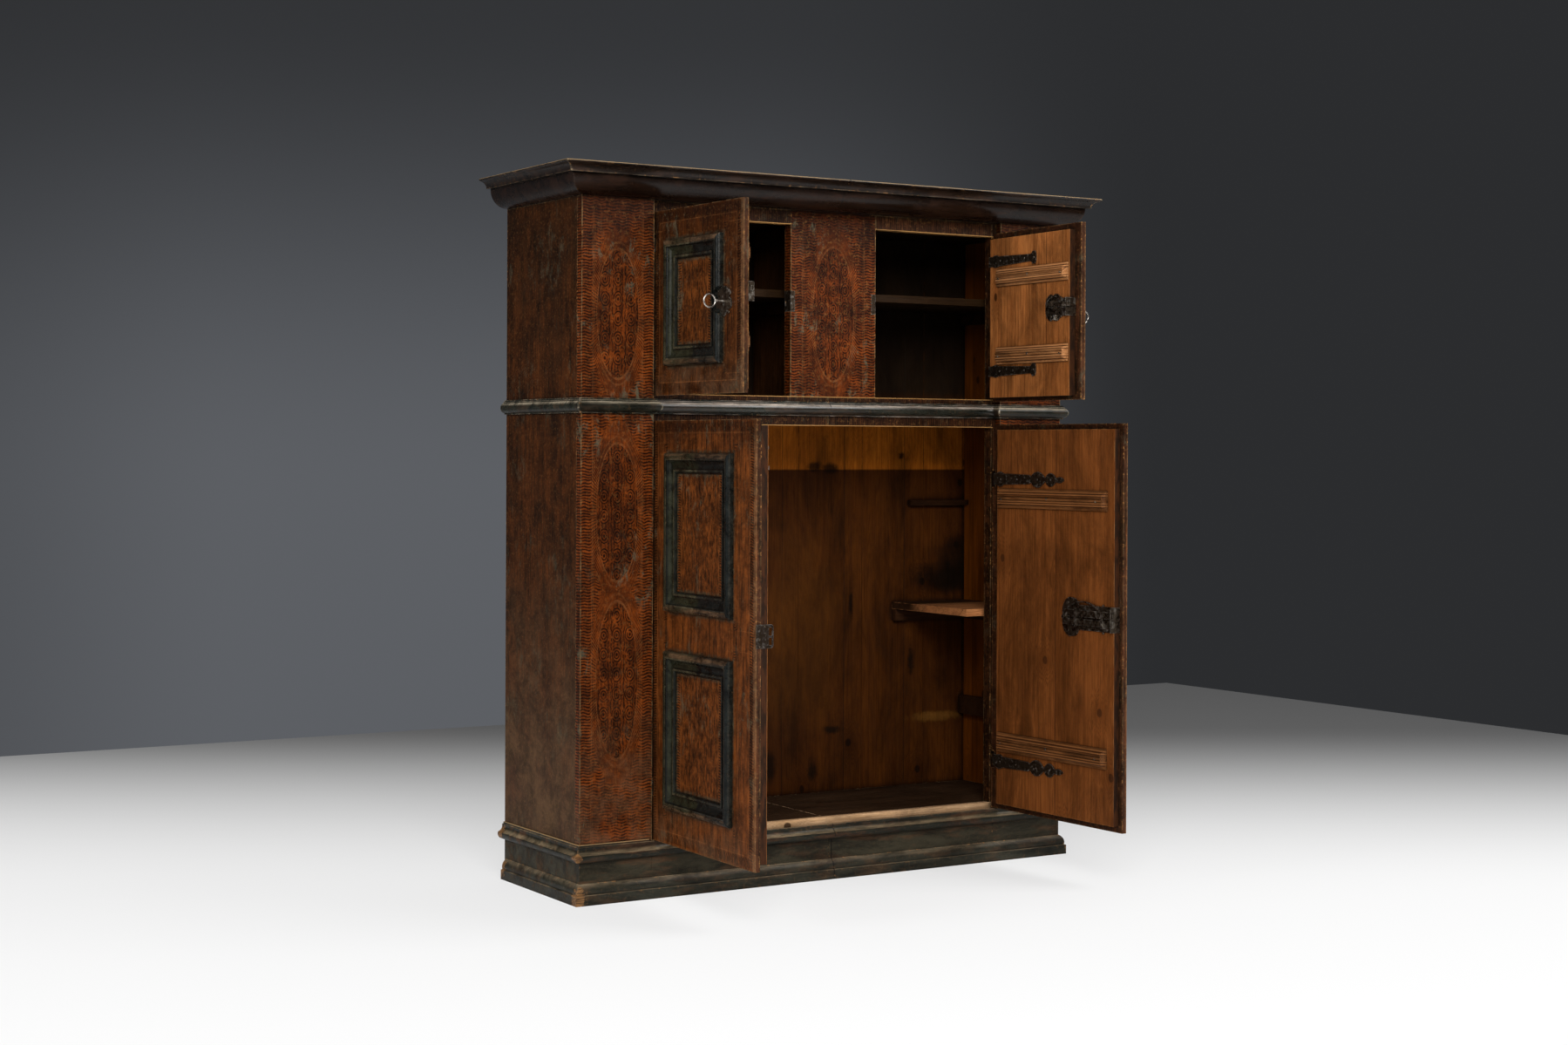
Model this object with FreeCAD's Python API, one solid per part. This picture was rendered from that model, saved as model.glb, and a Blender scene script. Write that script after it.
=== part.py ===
import FreeCAD, Part

import os
from dataclasses import dataclass

# Painted pine court cupboard in one tall carcass, shown with its four lipped doors standing open.
# Millimetres. X runs to the right along the front, Y runs from the front to the back, Z is up.
# The origin lies on the floor below the middle of the carcass.

# Carcass
BODY_WIDTH = 1520.0
BODY_DEPTH = 442.0
SIDE_BOARD = 24.0
FRONT_BOARD = 30.0
BACK_BOARD = 16.0
BACK_BOARD_WIDTH = 218.0
BACK_BOARD_START = 255.0
DECK_BOARD = 21.0
BOARD_SEAM = 1.0
HALVES_JOINT_X = -8.0
RECESS = 25.0
LEFT_CORNER_WIDTH = 206.0
RIGHT_CORNER_WIDTH = 212.0
CENTRE_PANEL_WIDTH = 271.0
CENTRE_PANEL_SHIFT = 7.5

# Heights, from the floor up
PLINTH_HEIGHT = 138.0
LOWER_OPENING_HEIGHT = 1051.0
MIDDLE_RAIL_HEIGHT = 78.0
UPPER_OPENING_HEIGHT = 457.0
TOP_RAIL_HEIGHT = 38.0
MIDDLE_DECK_DROP = 17.0

# Shelves and the strips that carry them
SHELF_BOARD = 20.0
PARTITION_BOARD = 22.0
UPPER_SHELF_RISE = 283.0
UPPER_SHELF_SETBACK = 66.0
LOWER_SHELF_WIDTH = 262.0
LOWER_SHELF_RISE = 521.0
CLEAT_HEIGHT = 34.0
CLEAT_THICKNESS = 20.0
OLD_CLEAT_RISE = 824.0
OLD_CLEAT_HEIGHT = 15.0
OLD_CLEAT_LENGTH = 208.0
SIDE_CLEAT_RISE = 202.0
SIDE_CLEAT_HEIGHT = 54.0

# Plinth
PLINTH_BOARD = 26.0
PLINTH_JOINT_X = -16.0
PLINTH_LEFT_BLOCK = 205.0
PLINTH_RIGHT_BLOCK = 234.0
BEARER_WIDTH = 40.0
BEARER_SPACING = 380.0
FOOT_HEIGHT = 53.0
FOOT_PROJECTION = 16.0
FOOT_END_GAP = 10.0
BASE_MOULDING_Z = 107.0
BASE_MOULDING_HEIGHT = 44.0
BASE_MOULDING_PROJECTION = 20.0
DOOR_PATH_DEPTH = 5.0
DOOR_PATH_REACH = 10.0

# Waist moulding
WAIST_RISE = 26.0
WAIST_HEIGHT = 38.0
WAIST_PROJECTION = 18.0

# Cornice
OVOLO_HEIGHT = 51.0
OVOLO_PROJECTION = 49.0
CAP_HEIGHT = 26.0
CAP_PROJECTION = 83.0
CORNICE_RAIL = 30.0

# Doors
HINGE_GAP = 4.0
HINGE_LAP = 9.0
HINGE_CLEARANCE = 4.0
LIP_BOARD = 14.0
INNER_BOARD = 18.0
CLOSED_GAP = 0.5
MEETING_GAP = 4.0
UPPER_LAP_HIGH = 7.0
UPPER_LAP_LOW = 6.0
UPPER_LAP_FREE = 14.0
UPPER_CLEAR_HIGH = 11.0
UPPER_CLEAR_LOW = 5.0
UPPER_CLEAR_FREE = 14.0
LOWER_LAP_HIGH = 8.0
LOWER_LAP_LOW = 11.0
LOWER_CLEAR_HIGH = 7.0
LOWER_CLEAR_LOW = 6.0
LOWER_INNER_INSET = 44.0
LOWER_RIGHT_OVERHANG = 15.0

# Angles at which the doors stand open
UPPER_LEFT_ANGLE = 88.7
UPPER_RIGHT_ANGLE = 87.3
LOWER_LEFT_ANGLE = 91.8
LOWER_RIGHT_ANGLE = 91.9

# Raised frames on the door fronts
FRAME_WIDTH = 51.0
FRAME_PROUD = 16.0
UPPER_FRAME_INSET = 72.0
UPPER_FRAME_FREE = 94.0
UPPER_FRAME_HEAD = 78.0
UPPER_FRAME_SILL = 74.0
LOWER_FRAME_INSET = 88.0
LOWER_FRAME_FREE = 112.0
LOWER_FRAME_HEAD = 82.0
LOWER_FRAME_SILL = 90.0
LOWER_FRAME_SPLIT = 100.0

# Battens on the door backs
BATTEN_PROUD = 14.0
BATTEN_EDGE = 11.0
UPPER_BATTEN_HEIGHT = 47.0
UPPER_BATTEN_INSET = 34.0
UPPER_BATTEN_FREE = 4.0
UPPER_BATTEN_DROP = 128.0
UPPER_BATTEN_RISE = 126.0
LOWER_BATTEN_HEIGHT = 53.0
LOWER_BATTEN_INSET = 6.0
LOWER_BATTEN_FREE = 26.0
LOWER_BATTEN_DROP = 204.0
LOWER_BATTEN_RISE = 190.0

# Strap hinges
STRAP_IRON = 3.0
PIN_RADIUS = 3.0
PIN_CLEARANCE = 0.06
KNUCKLE_RADIUS = 5.5
KNUCKLE_HEIGHT = 30.0
KNUCKLE_GAP = 0.3
PIN_HEAD = 4.0
SPIKE_SIZE = 6.0
SPIKE_LENGTH = 44.0
NOTCH_GAP = 1.0
UPPER_STRAP_LENGTH = 236.0
UPPER_STRAP_WIDTH = 34.0
UPPER_STRAP_DROP = 81.0
UPPER_STRAP_RISE = 84.0
LOWER_STRAP_LENGTH = 330.0
LOWER_STRAP_WIDTH = 42.0
LOWER_STRAP_DROP = 151.0
LOWER_STRAP_RISE = 135.0

# Rim locks on the door backs
LOCK_PLATE = 3.0
LOCK_FOREND = 2.5
STAPLE_IRON = 4.0
STAPLE_WIDTH = 6.0
SPRING_IRON = 2.5
SPRING_WIDTH = 5.0
BOLT_THICKNESS = 7.0
BOLT_NOSE = 6.0
BOLT_GAP = 0.3
BOLT_TAIL = 12.0
TALON_DEPTH = 3.0
TALON_WIDTH = 14.0
SMALL_LOCK_LENGTH = 104.0
SMALL_LOCK_HEIGHT = 72.0
SMALL_SHIELD_LENGTH = 75.0
SMALL_CASE_HEIGHT = 48.0
SMALL_BOLT_WIDTH = 12.0
SMALL_BOLT_RISE = 248.0
SMALL_BOLT_ABOVE = 7.0
LARGE_LOCK_LENGTH = 203.0
LARGE_LOCK_HEIGHT = 104.0
LARGE_SHIELD_LENGTH = 78.0
LARGE_CASE_HEIGHT = 66.0
LARGE_BOLT_WIDTH = 16.0
LATCH_BOLT_WIDTH = 18.0
LARGE_BOLT_BELOW = 12.0
LATCH_BOLT_ABOVE = 11.0
LARGE_LOCK_RISE = 556.0
BOLT_KNOB_RADIUS = 5.0
BOLT_KNOB_LENGTH = 9.0

# Keys and keyholes
KEY_DROP = 30.0
KEY_INSET = 60.0
KEY_STEM_RADIUS = 3.0
KEYHOLE_GAP = 0.3
KEYHOLE_SLOT = 5.0
KEY_REACH = 26.0
KEY_DRAWN_OUT = 16.0
KEY_BOW_RADIUS = 16.0
KEY_BOW_WIRE = 2.2
KEY_COLLAR_RADIUS = 5.0
KEY_COLLAR = 5.0
KEY_BIT_DROP = 10.0
KEY_BIT_WIDTH = 5.0
KEY_BIT_IRON = 3.0
KEY_SHAFT_RADIUS = 6.0
ESCUTCHEON_WIDTH = 72.0
ESCUTCHEON_HEIGHT = 72.0
ESCUTCHEON_IRON = 2.5

# Iron on the centre boards and on the lower left door
KEEPER_IRON = 2.0
KEEPER_HEIGHT = 54.0
KEEPER_FACE = 13.0
KEEPER_ABOVE = 5.0
KEEPER_SLOT_GAP = 0.8
KEEPER_MORTISE = 18.0
STRIKE_IRON = 2.0
STRIKE_HEIGHT = 56.0
STRIKE_START = 1.0
STRIKE_TONGUE = 15.0
HOOK_STUD_RADIUS = 3.0
HOOK_STUD_HEAD_RADIUS = 5.0
HOOK_STUD_HEAD = 2.0
HOOK_STUD_INSET = 10.0
HOOK_STUD_DROP = 68.0
HOOK_IRON = 2.5
HOOK_LENGTH = 52.0
HOOK_TIP = 9.0
HOOK_EYE_RADIUS = 6.0
HOOK_CLEARANCE = 0.06

# Cutting tools run past what they cut by this much
OVERRUN = 2.0

# Moulding outlines. Two numbers end a straight line, four numbers are an arc's middle and its end.
# Each number is a share of the moulding's projection or of its height.
FOOT_SHARES = (
    (0.0, 0.0), (1.0, 0.0), (1.0, 0.47), (0.72, 0.50), (0.64, 0.80, 0.22, 0.96), (0.0, 1.0))
BASE_MOULDING_SHARES = (
    (0.0, 0.0), (0.55, 0.0), (0.96, 0.16, 1.0, 0.42), (0.80, 0.47), (0.52, 0.58, 0.40, 0.80),
    (0.40, 0.87), (0.22, 0.90), (0.22, 1.0), (0.0, 1.0))
WAIST_SHARES = (
    (0.0, 0.0), (0.36, 0.0), (0.36, 0.09), (1.0, 0.40, 0.56, 0.79), (0.56, 0.86), (0.36, 0.89),
    (0.36, 1.0), (0.0, 1.0))
OVOLO_SHARES = (
    (-0.61, 0.0), (0.0, 0.0), (0.0, 0.02), (0.70, 0.28, 1.0, 0.96), (1.0, 1.0), (-0.61, 1.0))
CAP_SHARES = (
    (-0.36, 0.0), (0.74, 0.0), (0.74, 0.16), (0.80, 0.50, 0.93, 0.72), (0.97, 0.78), (1.0, 0.86),
    (0.99, 0.97, 0.95, 1.0), (-0.36, 1.0))
FRAME_SHARES = (
    (0.0, 0.0), (0.0, 0.35), (0.06, 0.88, 0.28, 1.0), (0.36, 1.0), (0.36, 0.86),
    (0.50, 0.40, 0.80, 0.30), (0.80, 0.46), (0.92, 0.46), (1.0, 0.20), (1.0, 0.0))

# Batten sections: shares of the edge moulding's width and of how proud the batten stands
BATTEN_EDGE_SHARES = ((0.0, 0.0), (0.0, 0.30), (0.64, 0.44, 1.0, 1.0))
BATTEN_BEAD_SHARE = 0.09

# Strap outlines: shares of the strap's length and of half its width
UPPER_STRAP_SHARES = (
    (0.0, 0.80), (0.12, 0.80), (0.18, 1.0, 0.24, 0.80), (0.88, 0.55), (0.91, 0.66, 0.93, 1.0),
    (0.98, 1.0), (1.0, 0.45), (1.0, 0.0))
LOWER_STRAP_SHARES = (
    (0.0, 0.70), (0.13, 0.70), (0.17, 0.95, 0.22, 0.70), (0.56, 0.58), (0.58, 0.30),
    (0.665, 1.0, 0.75, 0.30), (0.77, 0.24), (0.83, 0.86, 0.89, 0.26), (0.905, 0.24),
    (0.94, 0.36, 1.0, 0.0))

# Lock shields: shares of the shield's length and of half the lock's height
SMALL_SHIELD_SHARES = (
    (0.0, 0.0), (0.05, 0.62, 0.30, 1.0), (0.44, 0.86), (0.60, 1.0, 0.80, 0.88), (0.92, 0.66), (1.0, 0.66),
    (1.0, 0.0))
LARGE_SHIELD_SHARES = (
    (0.0, 0.0), (0.0, 0.30), (0.14, 0.80, 0.36, 1.0), (0.70, 0.94), (0.86, 0.63), (1.0, 0.63), (1.0, 0.0))
STAPLE_SHARES = (0.30, 0.82)
SPRING_SHARES = ((0.12, 0.46), (0.42, 0.84, 0.74, 0.46))

# Plates: shares of the height and of half the width
ESCUTCHEON_SHARES = (
    (0.0, 0.0), (0.02, 0.16, 0.10, 0.20), (0.16, 0.44, 0.26, 0.48), (0.32, 0.96, 0.52, 0.94), (0.66, 0.66),
    (0.76, 0.84, 0.88, 0.50), (0.97, 0.34, 1.0, 0.0))
STRIKE_SHARES = ((0.0, 1.0), (0.82, 1.0), (0.95, 0.93, 1.0, 0.70), (1.0, 0.0))

# Places worked out from the sizes above
FRONT_Y = -BODY_DEPTH / 2
BACK_Y = BODY_DEPTH / 2
LEFT_X = -BODY_WIDTH / 2
RIGHT_X = BODY_WIDTH / 2
RECESS_Y = FRONT_Y + RECESS
FRONT_BACK_Y = RECESS_Y + FRONT_BOARD
INSIDE_BACK_Y = BACK_Y - BACK_BOARD
INSIDE_LEFT_X = LEFT_X + SIDE_BOARD
INSIDE_RIGHT_X = RIGHT_X - SIDE_BOARD
LEFT_CORNER_X = LEFT_X + LEFT_CORNER_WIDTH
RIGHT_CORNER_X = RIGHT_X - RIGHT_CORNER_WIDTH
LEFT_HINGE_X = LEFT_CORNER_X + HINGE_GAP
RIGHT_HINGE_X = RIGHT_CORNER_X - HINGE_GAP
HINGE_Y = RECESS_Y - CLOSED_GAP - LIP_BOARD
LEFT_JAMB_X = LEFT_HINGE_X + HINGE_LAP
RIGHT_JAMB_X = RIGHT_HINGE_X - HINGE_LAP
PANEL_LEFT_X = CENTRE_PANEL_SHIFT - CENTRE_PANEL_WIDTH / 2
PANEL_RIGHT_X = CENTRE_PANEL_SHIFT + CENTRE_PANEL_WIDTH / 2
FLOOR_Z = PLINTH_HEIGHT + DECK_BOARD
LOWER_HEAD_Z = FLOOR_Z + LOWER_OPENING_HEIGHT
UPPER_SILL_Z = LOWER_HEAD_Z + MIDDLE_RAIL_HEIGHT
UPPER_HEAD_Z = UPPER_SILL_Z + UPPER_OPENING_HEIGHT
BODY_TOP_Z = UPPER_HEAD_Z + TOP_RAIL_HEIGHT
MIDDLE_DECK_Z = UPPER_SILL_Z - MIDDLE_DECK_DROP
WAIST_Z = LOWER_HEAD_Z + WAIST_RISE
CAP_Z = BODY_TOP_Z + OVOLO_HEIGHT
TOP_Z = CAP_Z + CAP_HEIGHT
DOOR_THICKNESS = LIP_BOARD + INNER_BOARD
CRANK = HINGE_LAP + NOTCH_GAP
BOLT_REST = DOOR_THICKNESS + LOCK_PLATE + BOLT_GAP
BOLT_BACK = BOLT_REST + BOLT_THICKNESS

ALONG_X = FreeCAD.Vector(1, 0, 0)
ALONG_Y = FreeCAD.Vector(0, 1, 0)
ALONG_Z = FreeCAD.Vector(0, 0, 1)


def block(low, high):
    """Return the box between two opposite corners."""
    near = [min(pair) for pair in zip(low, high)]
    size = [abs(first - second) for first, second in zip(low, high)]
    return Part.makeBox(size[0], size[1], size[2], FreeCAD.Vector(*near))


def rod(radius, start, end):
    """Return a round bar from one point to another."""
    first = FreeCAD.Vector(*start)
    run = FreeCAD.Vector(*end) - first
    return Part.makeCylinder(radius, run.Length, first, run)


def edges_through(steps, place):
    """Return the edges through a list of steps, where place turns two numbers into a point."""
    edges = []
    last = place(*steps[0])
    for step in steps[1:]:
        end = place(*step[-2:])
        if len(step) == 4:
            edges.append(Part.Arc(last, place(*step[:2]), end).toShape())
        else:
            edges.append(Part.makeLine(last, end))
        last = end
    return edges


def closed_face(steps, place):
    """Return the flat face inside a run of steps, closed by a straight line."""
    edges = edges_through(steps, place)
    edges.append(Part.makeLine(place(*steps[-1][-2:]), place(*steps[0])))
    return Part.Face(Part.Wire(edges))


def mirrored_face(steps, place):
    """Return the face between a run of steps and its reflection, where the second number changes sign."""
    edges = edges_through(steps, place) + edges_through(steps, lambda along, across: place(along, -across))
    for step in (steps[0], steps[-1]):
        along, across = step[-2:]
        if across:
            edges.append(Part.makeLine(place(along, across), place(along, -across)))
    return Part.Face(Part.Wire(Part.sortEdges(edges)[0]))


def moulding(shares, projection, height, corner, along, out, up, length, start=0, end=0):
    """Return a straight run of moulding.

    start and end are 0 for a square end, 1 for a mitre round an outside corner and -1 for a mitre into
    an inside corner. out points away from the board behind and up points along the moulding's height.
    """
    near = projection * min(step[-2] for step in shares) - OVERRUN
    far = projection + OVERRUN
    reach = max(far, -near)

    def place(across, rise):
        """Turn shares into a point of the section at the run's far left."""
        return corner - along * reach + out * (across * projection) + up * (rise * height)

    bar = closed_face(shares, place).extrude(along * (length + 2 * reach))
    ends = (
        (-start * near, near), (length + end * near, near),
        (length + end * far, far), (-start * far, far), (-start * near, near))
    base = corner - up * OVERRUN
    ring = Part.makePolygon([base + along * run + out * across for run, across in ends])
    return bar.common(Part.Face(ring).extrude(up * (height + 2 * OVERRUN)))


def front_run(shares, projection, height, left, right, depth, bottom, start=0, end=0):
    """Return a moulding that runs along the front from left to right."""
    corner = FreeCAD.Vector(left, depth, bottom)
    length = right - left
    return moulding(shares, projection, height, corner, ALONG_X, -ALONG_Y, ALONG_Z, length, start, end)


def side_run(shares, projection, height, side, x, front, back, bottom, start=1, end=0):
    """Return a moulding that runs from front to back and faces left (side -1) or right (side 1)."""
    corner = FreeCAD.Vector(x, front, bottom)
    out = ALONG_X * side
    return moulding(shares, projection, height, corner, ALONG_Y, out, ALONG_Z, back - front, start, end)


def wrap_round(shares, projection, height, bottom, back):
    """Return a moulding round the carcass: two front halves and two sides, mitred at the front corners."""
    sizes = (shares, projection, height)
    return [
        front_run(*sizes, LEFT_X, HALVES_JOINT_X, FRONT_Y, bottom, start=1),
        front_run(*sizes, HALVES_JOINT_X, RIGHT_X, FRONT_Y, bottom, end=1),
        side_run(*sizes, -1, LEFT_X, FRONT_Y, back, bottom),
        side_run(*sizes, 1, RIGHT_X, FRONT_Y, back, bottom)]


@dataclass
class Door:
    """One lipped door, drawn shut with its hinge line at the left and then hung.

    In a door's own frame the first number runs from the hinge line to the free edge, the second from
    the front face inwards, and the third is the height above the floor. A side of -1 is a door on the
    left and 1 a door on the right, which is its mirror image.
    """

    side: int
    angle: float
    sill: float
    head: float
    width: float
    inner_start: float
    inner_end: float
    inner_sill: float
    inner_head: float
    frames: tuple
    frame_inset: float
    frame_free: float
    batten_height: float
    batten_start: float
    batten_end: float
    batten_middles: tuple
    strap_shares: tuple
    strap_length: float
    strap_width: float
    strap_middles: tuple
    key_place: tuple = ()

    @property
    def hinge_x(self):
        """The X of the hinge line."""
        return LEFT_HINGE_X if self.side < 0 else RIGHT_HINGE_X

    def hang(self, shape):
        """Return a shape of the door's own frame, opened by the rest angle and set on the hinge line."""
        hung = shape.copy()
        if self.side > 0:
            hung = hung.mirror(FreeCAD.Vector(), ALONG_X)
        hung.rotate(FreeCAD.Vector(), ALONG_Z, self.side * self.angle)
        hung.translate(FreeCAD.Vector(self.hinge_x, HINGE_Y, 0))
        return hung

    def key_shaft(self):
        """Return the hole that the key passes through both boards."""
        across, height = self.key_place
        back = DOOR_THICKNESS + OVERRUN
        return rod(KEY_SHAFT_RADIUS, (across, -OVERRUN, height), (across, back, height))

    def face_board(self):
        """Return the outer board, whose edges lap over the carcass."""
        board = block((0, 0, self.sill), (self.width, LIP_BOARD, self.head))
        half = KNUCKLE_HEIGHT / 2 + SPIKE_SIZE + 2 * NOTCH_GAP
        for middle in self.strap_middles:
            low = (-OVERRUN, -OVERRUN, middle - half)
            board = board.cut(block(low, (CRANK + STRAP_IRON, LIP_BOARD + OVERRUN, middle + half)))
        if self.key_place:
            board = board.cut(self.key_shaft())
        return [self.hang(board)]

    def inner_board(self):
        """Return the inner board, which fits inside the opening."""
        low = (self.inner_start, LIP_BOARD, self.inner_sill)
        board = block(low, (self.inner_end, DOOR_THICKNESS, self.inner_head))
        if self.key_place:
            board = board.cut(self.key_shaft())
        return [self.hang(board)]

    def panel_frames(self):
        """Return the raised frames on the front, four mitred lengths each, cut round the escutcheon."""
        left = self.frame_inset
        right = self.width - self.frame_free
        lengths = []
        for bottom, top in self.frames:
            runs = (
                ((left, bottom), ALONG_X, ALONG_Z, right - left),
                ((right, bottom), ALONG_Z, -ALONG_X, top - bottom),
                ((right, top), -ALONG_X, -ALONG_Z, right - left),
                ((left, top), -ALONG_Z, ALONG_X, top - bottom))
            for (across, height), along, inward, length in runs:
                corner = FreeCAD.Vector(across, 0, height)
                run = moulding(
                    FRAME_SHARES, FRAME_WIDTH, FRAME_PROUD, corner, along, inward, -ALONG_Y, length, -1, -1)
                if self.key_place:
                    run = run.cut(escutcheon_blank(self, NOTCH_GAP, FRAME_PROUD + OVERRUN))
                lengths.extend(self.hang(piece) for piece in run.Solids)
        return lengths

    def battens(self):
        """Return the moulded battens across the back, with the same moulding worked on their ends."""
        return [self.hang(self.batten(middle)) for middle in self.batten_middles]

    def batten(self, middle):
        """Return one batten in the door's frame."""
        half_length = (self.batten_end - self.batten_start) / 2
        half_height = self.batten_height / 2
        centre = self.batten_start + half_length

        def across_grain(across, rise):
            """Return a point of the section across the batten."""
            return FreeCAD.Vector(self.batten_start, DOOR_THICKNESS + rise, middle + across)

        def along_grain(across, rise):
            """Return a point of the section along the batten."""
            return FreeCAD.Vector(centre + across, DOOR_THICKNESS + rise, middle - half_height)

        bar = batten_section(half_height, across_grain).extrude(ALONG_X * 2 * half_length)
        bar = bar.common(batten_section(half_length, along_grain).extrude(ALONG_Z * self.batten_height))
        bead = self.batten_height * BATTEN_BEAD_SHARE
        top = DOOR_THICKNESS + BATTEN_PROUD
        for height in (middle - bead, middle + bead):
            start = (self.batten_start + BATTEN_EDGE, top, height)
            bar = bar.cut(rod(bead / 2, start, (self.batten_end - BATTEN_EDGE, top, height)))
        return bar

    def straps(self):
        """Return the cranked strap hinges with their knuckles."""
        return [self.hang(self.strap(middle)) for middle in self.strap_middles]

    def strap(self, middle):
        """Return one strap: a knuckle, a crank round the edges of both boards and a cut-out blade."""
        leaf = KNUCKLE_RADIUS - STRAP_IRON
        bend = CRANK + STRAP_IRON
        back = DOOR_THICKNESS + STRAP_IRON
        edge = self.inner_start - STRAP_IRON
        stepped = edge > CRANK + NOTCH_GAP
        section = [(0, leaf), (bend, leaf)]
        if stepped:
            section += [(bend, LIP_BOARD), (self.inner_start, LIP_BOARD)]
        section += [
            (self.inner_start, DOOR_THICKNESS), (self.strap_length, DOOR_THICKNESS),
            (self.strap_length, back), (edge, back)]
        if stepped:
            section += [(edge, LIP_BOARD + STRAP_IRON), (CRANK, LIP_BOARD + STRAP_IRON)]
        section += [(CRANK, KNUCKLE_RADIUS), (0, KNUCKLE_RADIUS)]
        half = self.strap_width / 2
        bar = closed_face(section, lambda along, depth: FreeCAD.Vector(along, depth, middle - half))
        bar = bar.extrude(ALONG_Z * self.strap_width)
        blade = mirrored_face(
            self.strap_shares,
            lambda along, rise: FreeCAD.Vector(along * self.strap_length, 0, middle + rise * half))
        bar = bar.common(blade.extrude(ALONG_Y * (back + OVERRUN)))
        foot = middle - KNUCKLE_HEIGHT / 2
        top = middle + KNUCKLE_HEIGHT / 2
        bar = bar.fuse(rod(KNUCKLE_RADIUS, (0, 0, foot), (0, 0, top)))
        return bar.cut(rod(PIN_RADIUS + PIN_CLEARANCE, (0, 0, foot - OVERRUN), (0, 0, top + OVERRUN)))


def batten_section(half, place):
    """Return the face of a batten's section: a moulded edge on each side of a flat middle."""
    def left(across, rise):
        """Return a point of the moulded edge on the low side."""
        return place(across * BATTEN_EDGE - half, rise * BATTEN_PROUD)

    def right(across, rise):
        """Return a point of the moulded edge on the high side."""
        return place(half - across * BATTEN_EDGE, rise * BATTEN_PROUD)

    edges = edges_through(BATTEN_EDGE_SHARES, left) + edges_through(BATTEN_EDGE_SHARES, right)
    edges.append(Part.makeLine(left(0, 0), right(0, 0)))
    edges.append(Part.makeLine(left(1, 1), right(1, 1)))
    return Part.Face(Part.Wire(Part.sortEdges(edges)[0]))


def pintle(door, middle):
    """Return a hinge pin with the spike that holds it in the corner board."""
    x = door.hinge_x
    half = SPIKE_SIZE / 2
    foot = middle - KNUCKLE_HEIGHT / 2 - KNUCKLE_GAP
    top = middle + KNUCKLE_HEIGHT / 2 + PIN_HEAD
    low = (x - door.side * half, HINGE_Y - half, foot - SPIKE_SIZE)
    spike = block(low, (x + door.side * SPIKE_LENGTH, HINGE_Y + half, foot))
    return spike.fuse(rod(PIN_RADIUS, (x, HINGE_Y, foot - half), (x, HINGE_Y, top)))


def knuckle_mortise(door, middle):
    """Return the notch in a corner board's edge beside a knuckle."""
    reach = KNUCKLE_RADIUS + NOTCH_GAP
    half = KNUCKLE_HEIGHT / 2 + PIN_HEAD + NOTCH_GAP
    low = (door.hinge_x - reach, HINGE_Y - reach, middle - half)
    return block(low, (door.hinge_x + reach, HINGE_Y + reach, middle + half))


def keyhole(across, height, near, far):
    """Return the cut for a key's stem and bit through everything between two depths."""
    radius = KEY_STEM_RADIUS + KEYHOLE_GAP
    half = KEYHOLE_SLOT / 2
    slot = block((across - half, near, height - KEY_BIT_DROP - NOTCH_GAP), (across + half, far, height))
    return slot.fuse(rod(radius, (across, near, height), (across, far, height)))


def escutcheon_blank(door, grow, thickness):
    """Return the escutcheon's outline, grown all round, as a solid in front of the door's face."""
    across, height = door.key_place
    wide = ESCUTCHEON_WIDTH / 2 + grow
    tall = ESCUTCHEON_HEIGHT + 2 * grow
    outline = mirrored_face(
        ESCUTCHEON_SHARES,
        lambda rise, side: FreeCAD.Vector(across + side * wide, 0, height + (rise - 0.5) * tall))
    return outline.extrude(-ALONG_Y * thickness)


def escutcheon(door):
    """Return the cut-out plate round a keyhole on the front."""
    across, height = door.key_place
    plate = escutcheon_blank(door, 0, ESCUTCHEON_IRON)
    return [door.hang(plate.cut(keyhole(across, height, -ESCUTCHEON_IRON - OVERRUN, OVERRUN)))]


def key(door):
    """Return a key in its lock: a ring bow, a collar, a stem and a bit that hangs down."""
    across, height = door.key_place
    head = -KEY_REACH - (KEY_DRAWN_OUT if door.side > 0 else 0)
    bow = Part.makeTorus(
        KEY_BOW_RADIUS, KEY_BOW_WIRE, FreeCAD.Vector(across, head - KEY_BOW_RADIUS, height), ALONG_X)
    tip = BOLT_REST + KEY_BIT_WIDTH
    stem = rod(KEY_STEM_RADIUS, (across, head, height), (across, tip, height))
    collar = rod(KEY_COLLAR_RADIUS, (across, head, height), (across, head + KEY_COLLAR, height))
    low = (across - KEY_BIT_IRON / 2, BOLT_REST, height - KEY_BIT_DROP)
    bit = block(low, (across + KEY_BIT_IRON / 2, tip, height))
    return [door.hang(bow.fuse([stem, collar, bit]))]


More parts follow.
